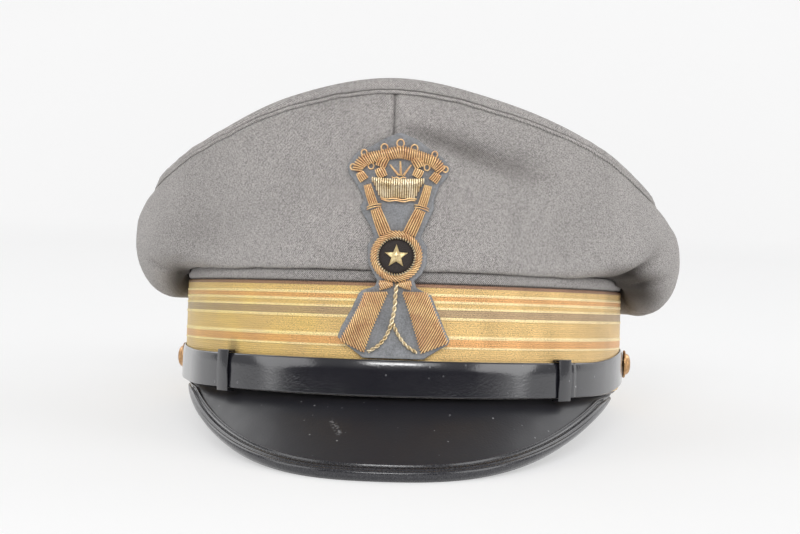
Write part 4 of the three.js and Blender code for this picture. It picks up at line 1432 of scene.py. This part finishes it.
def padding_body(rows, slant=0.0, skew=0.0):
    """The padding under the wires, so that no felt shows between them, dark as painted shade in the gaps
    between the wires.
    """
    place, length = middle_line(rows)
    shares = between(-0.92, 0.92, 10)
    section = [(share, 0.02 + 0.8 * dome(share)) for share in shares]
    section += [(shares[-1], -0.15), (shares[0], -0.15), section[0]]
    points = []
    measures = []
    for down in between(0, 1, 24):
        column = []
        for share, lift in section:
            skewed_start = skew - math.copysign(skew, slant) * share
            column.append(padded_point(place(mix(skewed_start, length, down)), share, lift))
        points.append(column)
        measures.append([(down * length / 1000, 0.0)] * len(column))
    return closed_up(grid_of(points, measures))


def ring_wires():
    """The wires wound over the ring round the disc."""
    middle = (ROUNDEL["inner"] + ROUNDEL["outer"]) / 2
    half = (ROUNDEL["outer"] - ROUNDEL["inner"]) / 2
    lines = []
    for turn in between(0, math.tau, ROUNDEL["wires"])[:-1]:
        line = []
        for share in between(-1, 1, 9):
            lift = 0.3 + ROUNDEL["lift"] * (0.2 + 0.8 * dome(share, 0.95))
            line.append(over_disc(turn + 0.17 * share, middle + half * share, lift))
        lines.append(line)
    return lines


def ring_whipping():
    """The pale thread that whips the ring's inner edge."""
    lines = []
    for turn in between(0, math.tau, ROUNDEL["whips"])[:-1]:
        line = []
        for share in between(0, 1, 3):
            lift = 1.55 + 0.35 * math.sin(math.pi * share * 0.8)
            line.append(over_disc(turn + 0.05 * share, mix(5.8, 6.4, share), lift))
        lines.append(line)
    return lines


def round_pad(radius_from, radius_to, height):
    """A domed ring or disc in the badge's face."""
    points = []
    measures = []
    shares = between(0, 1, 10)
    for turn in between(0, math.tau, 64):
        column = []
        for share in shares:
            radius = mix(radius_from, radius_to, share)
            full = math.sqrt(1 - share ** 6) if radius_from == 0 else math.sin(math.pi * share)
            column.append((radius, 0.3 + height * full))
        column += [(radius_to, 0.1), (radius_from, 0.1), column[0]]
        points.append([over_disc(turn, radius, lift) for radius, lift in column])
        across, up = math.cos(turn) / 1000, math.sin(turn) / 1000
        measures.append([(radius * across, radius * up) for radius, _ in column])
    return closed_up(grid_of(points, measures))


def star_mesh():
    """A plain raised five-pointed star."""
    bm = bmesh.new()
    bmesh.ops.create_circle(bm, cap_ends=True, cap_tris=True, radius=1.0, segments=10)
    middle = min(bm.verts, key=lambda v: v.co.length)
    outline = [v for v in bm.verts if v is not middle]
    for vert in outline:
        turn = math.atan2(-vert.co.x, vert.co.y)
        point = round(turn / (math.tau / 10))
        radius = STAR["notch"] if point % 2 else STAR["point"]
        vert.co = (-radius * math.sin(turn), radius * math.cos(turn), 0.35)
    middle.co.z = 1.05
    base = bmesh.ops.extrude_edge_only(bm, edges=[e for e in bm.edges if e.is_boundary])
    for element in base["geom"]:
        if isinstance(element, bmesh.types.BMVert):
            element.co.z = -0.1
    for vert in bm.verts:
        across, up, lift = vert.co
        vert.co = over_felt(across, ROUNDEL["z"] + up, 1.2 + lift)
    return closed_up(bm)


def basket_shape(across, down):
    """A point on the basket's full front: its foot rises towards its two pointed sides."""
    share = across / BASKET["point"]
    foot = mix(BASKET["foot_z"], BASKET["side_z"], smoothstep(abs(share), 0.62, 1.0))
    full = dome(share, 0.97) * math.sin(math.pi * mix(0.24, 0.93, down))
    return across - 0.2, mix(BASKET["rim_z"] + 0.5 * share * share, foot, down), full


def basket_columns(count):
    """The basket's front in columns from side to side, each from its rim to its foot."""
    for across in between(-BASKET["half"], BASKET["half"], count):
        yield [basket_shape(across, down) for down in between(0, 1, 10)]


def basket_wires():
    """The basket's upright purls."""
    columns = basket_columns(BASKET["purls"])
    return [[over_felt(x, z, 0.5 + 2.0 * full) for x, z, full in column] for column in columns]


def basket_padding():
    points = []
    for spots in basket_columns(30):
        column = [over_felt(x, z, 0.3 + 1.8 * full) for x, z, full in spots]
        column += [over_felt(x, z, 0.1) for x, z, _ in (spots[-1], spots[0])]
        points.append([*column, column[0]])
    return closed_up(grid_of(points, [[(0.0, 0.0)] * len(column) for column in points]))


def basket_edges():
    lines = []
    for z, half, lift in BASKET_EDGES:
        line = []
        for share in between(-1, 1, 18):
            wave = 0.2 * math.sin(share * 7 + z) - 0.35 * (1 - share * share)
            line.append(over_felt(0.1 + share * half, z + wave, 0.3 + lift * dome(share, 0.95)))
        lines.append(line)
    return lines


def collar_wires(side):
    """The bound collar where a stave meets its tip."""
    lines = []
    for row_z in (62.6, 63.35):
        line = []
        for share in between(-1, 1, 8):
            z = row_z - share * 0.6 + 0.2 * (1 - share * share)
            line.append(over_felt(side * (7.8 + share * 2.3), z, 0.4 + 1.5 * dome(share)))
        lines.append(line)
    return lines


def rays():
    lines = []
    for tip_across, tip_z, foot_across in RAYS:
        for offset in (-0.25, 0.25):
            line = []
            for share in between(0, 1, 5):
                across = mix(foot_across, tip_across, share) + offset * (1 - share * 0.6)
                line.append(over_felt(across, mix(RAY_FOOT_Z, tip_z, share), 0.55))
            lines.append(line)
    return lines


def small_loop(across, z, radius):
    line = []
    for share in between(0, 1, 14):
        turn = math.tau * share - math.pi / 2
        up = 1.15 * radius * math.sin(turn)
        line.append(over_felt(across + radius * math.cos(turn), z + up, 0.6 + 0.12 * share))
    return line


def loop_wires():
    pairs = [(side * across, z, radius) for side in (-1, 1) for across, z, radius in LOOPS]
    return [small_loop(*loop) for loop in (*pairs, TOP_LOOP)]


def twisted_strands(route, radius, lay):
    """Two strands laid round each other along a route on the badge."""
    middle = smooth_line([Vector(p) for p in route], 14)
    lines = []
    for phase in (0.0, math.pi):
        line = []
        travelled = 0.0
        for index, spot in enumerate(middle):
            ahead = middle[min(index + 1, len(middle) - 1)]
            back = middle[max(index - 1, 0)]
            run = (ahead - back).normalized()
            if index:
                travelled += (spot - middle[index - 1]).length
            turn = math.tau * travelled / lay + phase
            aside = Vector((-run.y, run.x)) * math.cos(turn) * radius
            line.append(over_felt(spot.x + aside.x, spot.y + aside.y, 0.75 + radius * math.sin(turn)))
        lines.append(line)
    return lines


# Operators


class CAP_OT_headband(bpy.types.Operator):
    """Make the cloth headband with its rolled upper edge"""

    bl_idname = "cap.headband"
    bl_label = "Headband"

    def execute(self, context):
        band = swept_round(full_circle(ROUND_STEPS["headband"]), headband_section)
        material = cloth("band_wool", context.scene.cap_cloth.band_painted_shade)
        piece_from(band, "headband_cloth", material, "cloth", "headband")
        return {"FINISHED"}


class CAP_OT_braid(bpy.types.Operator):
    """Make the metal-thread braid with its raised bars"""

    bl_idname = "cap.braid"
    bl_label = "Braid"

    def execute(self, context):
        material = finish_named("braid_finish", braid_material, context.scene.cap_braid)
        woven = swept_round(full_circle(ROUND_STEPS["braid"]), braid_section)
        piece_from(woven, "braid_woven", material, "braid", "gold_braid")
        return {"FINISHED"}


class CAP_OT_crown(bpy.types.Operator):
    """Make the crown: four quarters, the top with its wired rim, and the welt between them"""

    bl_idname = "cap.crown"
    bl_label = "Crown"

    def execute(self, context):
        thickness = context.scene.cap_cloth.thickness * 0.6
        quarters = {"front_left": -90, "front_right": 0, "back_right": 90, "back_left": -180}
        for name, start in quarters.items():
            sheet = quarter_sheet(start, start + 90)
            piece = piece_from(sheet, f"side_{name}", cloth(), "cloth", f"quarter_{name}")
            thickened(piece, thickness)
        thickened(piece_from(top_sheet(), "top_cloth", cloth(), "cloth", "crown_top"), thickness)
        welt = swept_round(full_circle(ROUND_STEPS["welt"]), welt_section)
        piece_from(welt, "seam_welt", cloth(), "cloth", "crown_welt")
        return {"FINISHED"}


class CAP_OT_peak(bpy.types.Operator):
    """Make the patent leather peak with its stitched binding"""

    bl_idname = "cap.peak"
    bl_label = "Peak"

    def execute(self, context):
        leather = patent("peak_finish")
        peak = piece_from(peak_sheet(), "peak_leather", leather, "patent_leather", "visor")
        thickened(peak, PEAK["thickness"] / 1000)
        black = colour(context.scene.cap_leather.leather)
        binding = finish_named("binding_leather", grained_material, black, colour(WORN_EDGE))
        piece_from(binding_strip(), "peak_binding", binding, "patent_leather", "visor_binding")
        radius = THREADS["stitch"]
        wires_from(binding_stitches(), radius, "binding_stitches", binding, "patent_leather")
        return {"FINISHED"}


class CAP_OT_strap(bpy.types.Operator):
    """Make the front strap, its slides and its buttons"""

    bl_idname = "cap.strap"
    bl_label = "Strap"

    def execute(self, context):
        leather = patent("strap_finish")
        slot = "patent_leather"
        under = strap_strip(-STRAP["lap"], STRAP["end"], False)
        piece_from(under, "strap_length_under", leather, slot, "strap_under")
        over = strap_strip(-STRAP["end"], STRAP["lap"], True)
        piece_from(over, "strap_length_over", leather, slot, "strap_over")
        gilt = finish_named("gilt_metal_finish", grained_material, colour(GILT, 0.5), colour(GILT))
        for side in ("left", "right"):
            slide = softened_copy(f"keeper_{side}", SLIDE_ROUNDING)
            piece_of(slide, f"slide_{side}", leather, slot, f"keeper_{side}")
            button = button_mesh(BUTTON_ANGLES[side])
            piece_from(button, f"side_button_{side}", gilt, "gilt_metal", f"button_{side}")
        return {"FINISHED"}


# Finishes of the badge


def thread_named(name, tint, glint, metallic=0.45):
    return finish_named(name, thread_material, tint, glint, metallic)


def badge_finishes():
    settings = bpy.context.scene.cap_badge
    # glint and shine are colours of painted glints on the threads; the padding's dark colour is painted shade
    # in the gaps between the wires.
    glint = [min(c * 1.35, 1.0) for c in settings.orange_gold]
    shine = [min(c * 1.3, 1.0) for c in settings.pale_gold]
    painted_gap_shade = [c * tone for c, tone in zip(settings.orange_gold, (0.34, 0.3, 0.28))]
    orange = thread_named("orange_gold_thread_finish", settings.orange_gold, glint)
    pale = thread_named("pale_gold_thread_finish", settings.pale_gold, shine)
    return orange, pale, thread_named("padding_thread", painted_gap_shade, painted_gap_shade, 0.1)


def purl_finish():
    settings = bpy.context.scene.cap_badge
    return thread_named("purl", settings.pale_gold, settings.purl_glint, 0.8)


# Operators of the badge


class CAP_OT_badge_ground(bpy.types.Operator):
    """Make the badge's felt, its dark disc and the star on it"""

    bl_idname = "cap.badge_ground"
    bl_label = "Badge ground"

    def execute(self, context):
        settings = context.scene.cap_badge
        felt = finish_named("badge_felt_finish", felt_material, settings.felt)
        thickened(piece_from(felt_sheet(), "felt_patch", felt, "badge_felt", "badge_felt"), 0.0011)
        dark, pale = colour(settings.velvet), colour(settings.velvet, 1.8)
        velvet = finish_named("roundel_cloth_finish", grained_material, dark, pale)
        disc = round_pad(0, ROUNDEL["disc"], 0.75)
        piece_from(disc, "velvet_disc", velvet, "roundel_cloth", "roundel_disc")
        _, gold, _ = badge_finishes()
        piece_from(star_mesh(), "disc_star", gold, "pale_gold_thread", "roundel_star")
        return {"FINISHED"}


class CAP_OT_badge_padding(bpy.types.Operator):
    """Make the padded metal-thread work: ring, staves, tails, ties and the arch"""

    bl_idname = "cap.badge_padding"
    bl_label = "Padded embroidery"

    def execute(self, context):
        wire = context.scene.cap_badge.wire * 1000
        orange, _, padding = badge_finishes()
        slot = "orange_gold_thread"
        wires_from(ring_wires(), wire * 1.12, "ring_wires", orange, slot, "roundel_ring")
        piece_from(round_pad(ROUNDEL["inner"], ROUNDEL["outer"], 1.05), "ring_padding", padding, slot)
        whipping = THREADS["whipping"]
        wires_from(ring_whipping(), whipping, "ring_whipping", purl_finish(), "pale_gold_thread")
        for shape, rows in PADDED_SHAPES.items():
            nodes = [shape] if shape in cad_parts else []
            slanting = SLANTED_WIRES.get(shape, ())
            if slanting:
                lines = slanted_wires(rows, wire * WIRE_PITCH["across"], *slanting)
            else:
                lines = along_wires(rows, wire * WIRE_PITCH["along"])
            wires_from(lines, wire, f"{shape}_wires", orange, slot, *nodes)
            piece_from(padding_body(rows, *slanting), f"{shape}_padding", padding, slot)
        for shape, rows in TIES.items():
            lines = slanted_wires(rows, wire * WIRE_PITCH["tie"], TIE_SLANT)
            wires_from(lines, wire, f"{shape}_wires", orange, "pale_gold_thread", shape)
            piece_from(padding_body(rows), f"{shape}_padding", padding, slot)
        for name, side in (("left", -1), ("right", 1)):
            wires_from(collar_wires(side), wire * 0.85, f"collar_{name}", orange, slot)
        return {"FINISHED"}


class CAP_OT_badge_fine_work(bpy.types.Operator):
    """Make the fine metal-thread work: basket, rays, loops and the twisted cord"""

    bl_idname = "cap.badge_fine_work"
    bl_label = "Fine embroidery"

    def execute(self, context):
        orange, _, padding = badge_finishes()
        purl = purl_finish()
        slot = "pale_gold_thread"
        purls = basket_wires()
        wires_from(purls, THREADS["purl"], "basket_purls", purl, slot, "coronet_basket", sides=1)
        piece_from(basket_padding(), "basket_padding", padding, slot)
        wires_from(basket_edges(), THREADS["edge"], "basket_edges", orange, slot, sides=1)
        wires_from(rays(), THREADS["ray"], "rays", orange, slot, sides=1)
        loops = [f"coronet_loop_{side}_{i}" for side in ("left", "right") for i in (1, 2, 3)]
        wires_from(loop_wires(), THREADS["loop"], "loops", orange, slot, *loops, sides=1)
        main_route, *branches = CORD_ROUTES
        offset, radius, lay = CORD_TWIST["cord"]
        strands = twisted_strands(main_route, offset, lay)
        wires_from(strands, radius, "twisted_cord", purl, slot, "badge_cord", sides=2)
        offset, radius, lay = CORD_TWIST["branches"]
        strands = [line for route in branches for line in twisted_strands(route, offset, lay)]
        wires_from(strands, radius, "cord_branches", purl, slot, "badge_cord_end", sides=2)
        return {"FINISHED"}


# The stage


def sweep_mesh():
    """A floor that curves up into a backdrop, as one smooth sheet."""
    flat, radius, width = SWEEP["flat"], SWEEP["radius"], SWEEP["width"]
    line = [(-SWEEP["front"], 0.0), (0.0, 0.0), (flat, 0.0)]
    for turn in between(0, math.pi / 2, 12)[1:]:
        line.append((flat + radius * math.sin(turn), radius * (1 - math.cos(turn))))
    line.append((flat + radius, SWEEP["height"]))
    bm = bmesh.new()
    verts = [bm.verts.new((-width / 2, y, z)) for y, z in line]
    edges = [bm.edges.new(pair) for pair in zip(verts, verts[1:])]
    swept = bmesh.ops.extrude_edge_only(bm, edges=edges)
    far = [e for e in swept["geom"] if isinstance(e, bmesh.types.BMVert)]
    bmesh.ops.translate(bm, verts=far, vec=(width, 0, 0))
    bmesh.ops.recalc_face_normals(bm, faces=bm.faces)
    mesh = bpy.data.meshes.new("studio_sweep")
    bm.to_mesh(mesh)
    bm.free()
    mesh.shade_smooth()
    return mesh


def area_light(name, size, power, place, aimed_height, roll):
    light = bpy.data.lights.new(name, "AREA")
    light.shape = "RECTANGLE"
    light.size, light.size_y = size
    light.energy = power
    lamp = bpy.data.objects.new(name, light)
    lamp.location = place
    facing = (Vector((0.0, 0.0, aimed_height)) - Vector(place)).to_track_quat("-Z", "Y").to_matrix()
    lamp.rotation_euler = (facing @ Matrix.Rotation(math.radians(roll), 3, "Z")).to_euler()
    bpy.context.scene.collection.objects.link(lamp)


def studio_world():
    """Bright surroundings, but dark low in front, like a room behind the camera."""
    world = bpy.data.worlds.new("studio")
    world.use_nodes = True
    tree = world.node_tree
    background = tree.nodes["Background"]
    direction = add_node(tree, "ShaderNodeTexCoord").outputs["Generated"]
    front = stretch(tree, part_of(tree, direction, "Y"), -0.5, -0.3, 1.0, 0.0)
    low = stretch(tree, part_of(tree, direction, "Z"), 0.14, 0.34, 1.0, 0.0)
    room = calc(tree, "MULTIPLY", front, low)
    tone = blend_colour(tree, room, colour(WORLD["bright"]), colour(WORLD["room"]))
    seen = add_node(tree, "ShaderNodeLightPath").outputs["Is Camera Ray"]
    feed(tree, background, Color=blend_colour(tree, seen, tone, colour(WORLD["seen"])))
    background.inputs["Strength"].default_value = bpy.context.scene.cap_stage.surroundings
    return world


class CAP_OT_stage(bpy.types.Operator):
    """Set the floor, the lights and the camera"""

    bl_idname = "cap.stage"
    bl_label = "Stage"

    def execute(self, context):
        settings = context.scene.cap_stage
        scene = context.scene
        floor = bpy.data.objects.new("studio_sweep", sweep_mesh())
        floor.data.materials.append(floor_material(settings.floor, settings.glow))
        scene.collection.objects.link(floor)
        for name, size, power, share, place, aimed_height, roll in LIGHTS:
            area_light(name, size, getattr(settings, power) * share, place, aimed_height, roll)
        scene.world = studio_world()
        scene.view_settings.view_transform = "Standard"
        view = bpy.data.cameras.new("camera")
        view.lens = settings.lens
        view.sensor_width = CAMERA["sensor"]
        camera = bpy.data.objects.new("camera", view)
        camera.location = CAMERA["place"]
        camera.rotation_euler = [math.radians(angle) for angle in CAMERA["turn"]]
        scene.collection.objects.link(camera)
        scene.camera = camera
        return {"FINISHED"}


# The panel and the add-on


class CAP_PT_panel(bpy.types.Panel):
    """The cap's pieces and settings in the sidebar"""

    bl_idname = "CAP_PT_panel"
    bl_label = "Peaked cap"
    bl_space_type = "VIEW_3D"
    bl_region_type = "UI"
    bl_category = "Cap"

    def draw(self, context):
        layout = self.layout
        for operator in OPERATORS:
            layout.operator(operator.bl_idname)
        for name, group in SETTINGS.items():
            box = layout.box()
            for field in group.__annotations__:
                box.prop(getattr(context.scene, name), field)


SETTINGS = {
    "cap_cloth": ClothSettings,
    "cap_braid": BraidSettings,
    "cap_leather": LeatherSettings,
    "cap_badge": BadgeSettings,
    "cap_stage": StageSettings,
}
OPERATORS = (
    CAP_OT_stage,
    CAP_OT_headband,
    CAP_OT_braid,
    CAP_OT_crown,
    CAP_OT_peak,
    CAP_OT_strap,
    CAP_OT_badge_ground,
    CAP_OT_badge_padding,
    CAP_OT_badge_fine_work,
)


def register():
    for group in (*SETTINGS.values(), *OPERATORS, CAP_PT_panel):
        bpy.utils.register_class(group)
    for name, group in SETTINGS.items():
        setattr(bpy.types.Scene, name, bpy.props.PointerProperty(type=group))


def unregister():
    for name in SETTINGS:
        delattr(bpy.types.Scene, name)
    for group in (CAP_PT_panel, *reversed(OPERATORS), *reversed(SETTINGS.values())):
        bpy.utils.unregister_class(group)


def main():
    register()
    for operator in OPERATORS:
        section, name = operator.bl_idname.split(".")
        getattr(getattr(bpy.ops, section), name)()


if __name__ == "__main__":
    main()
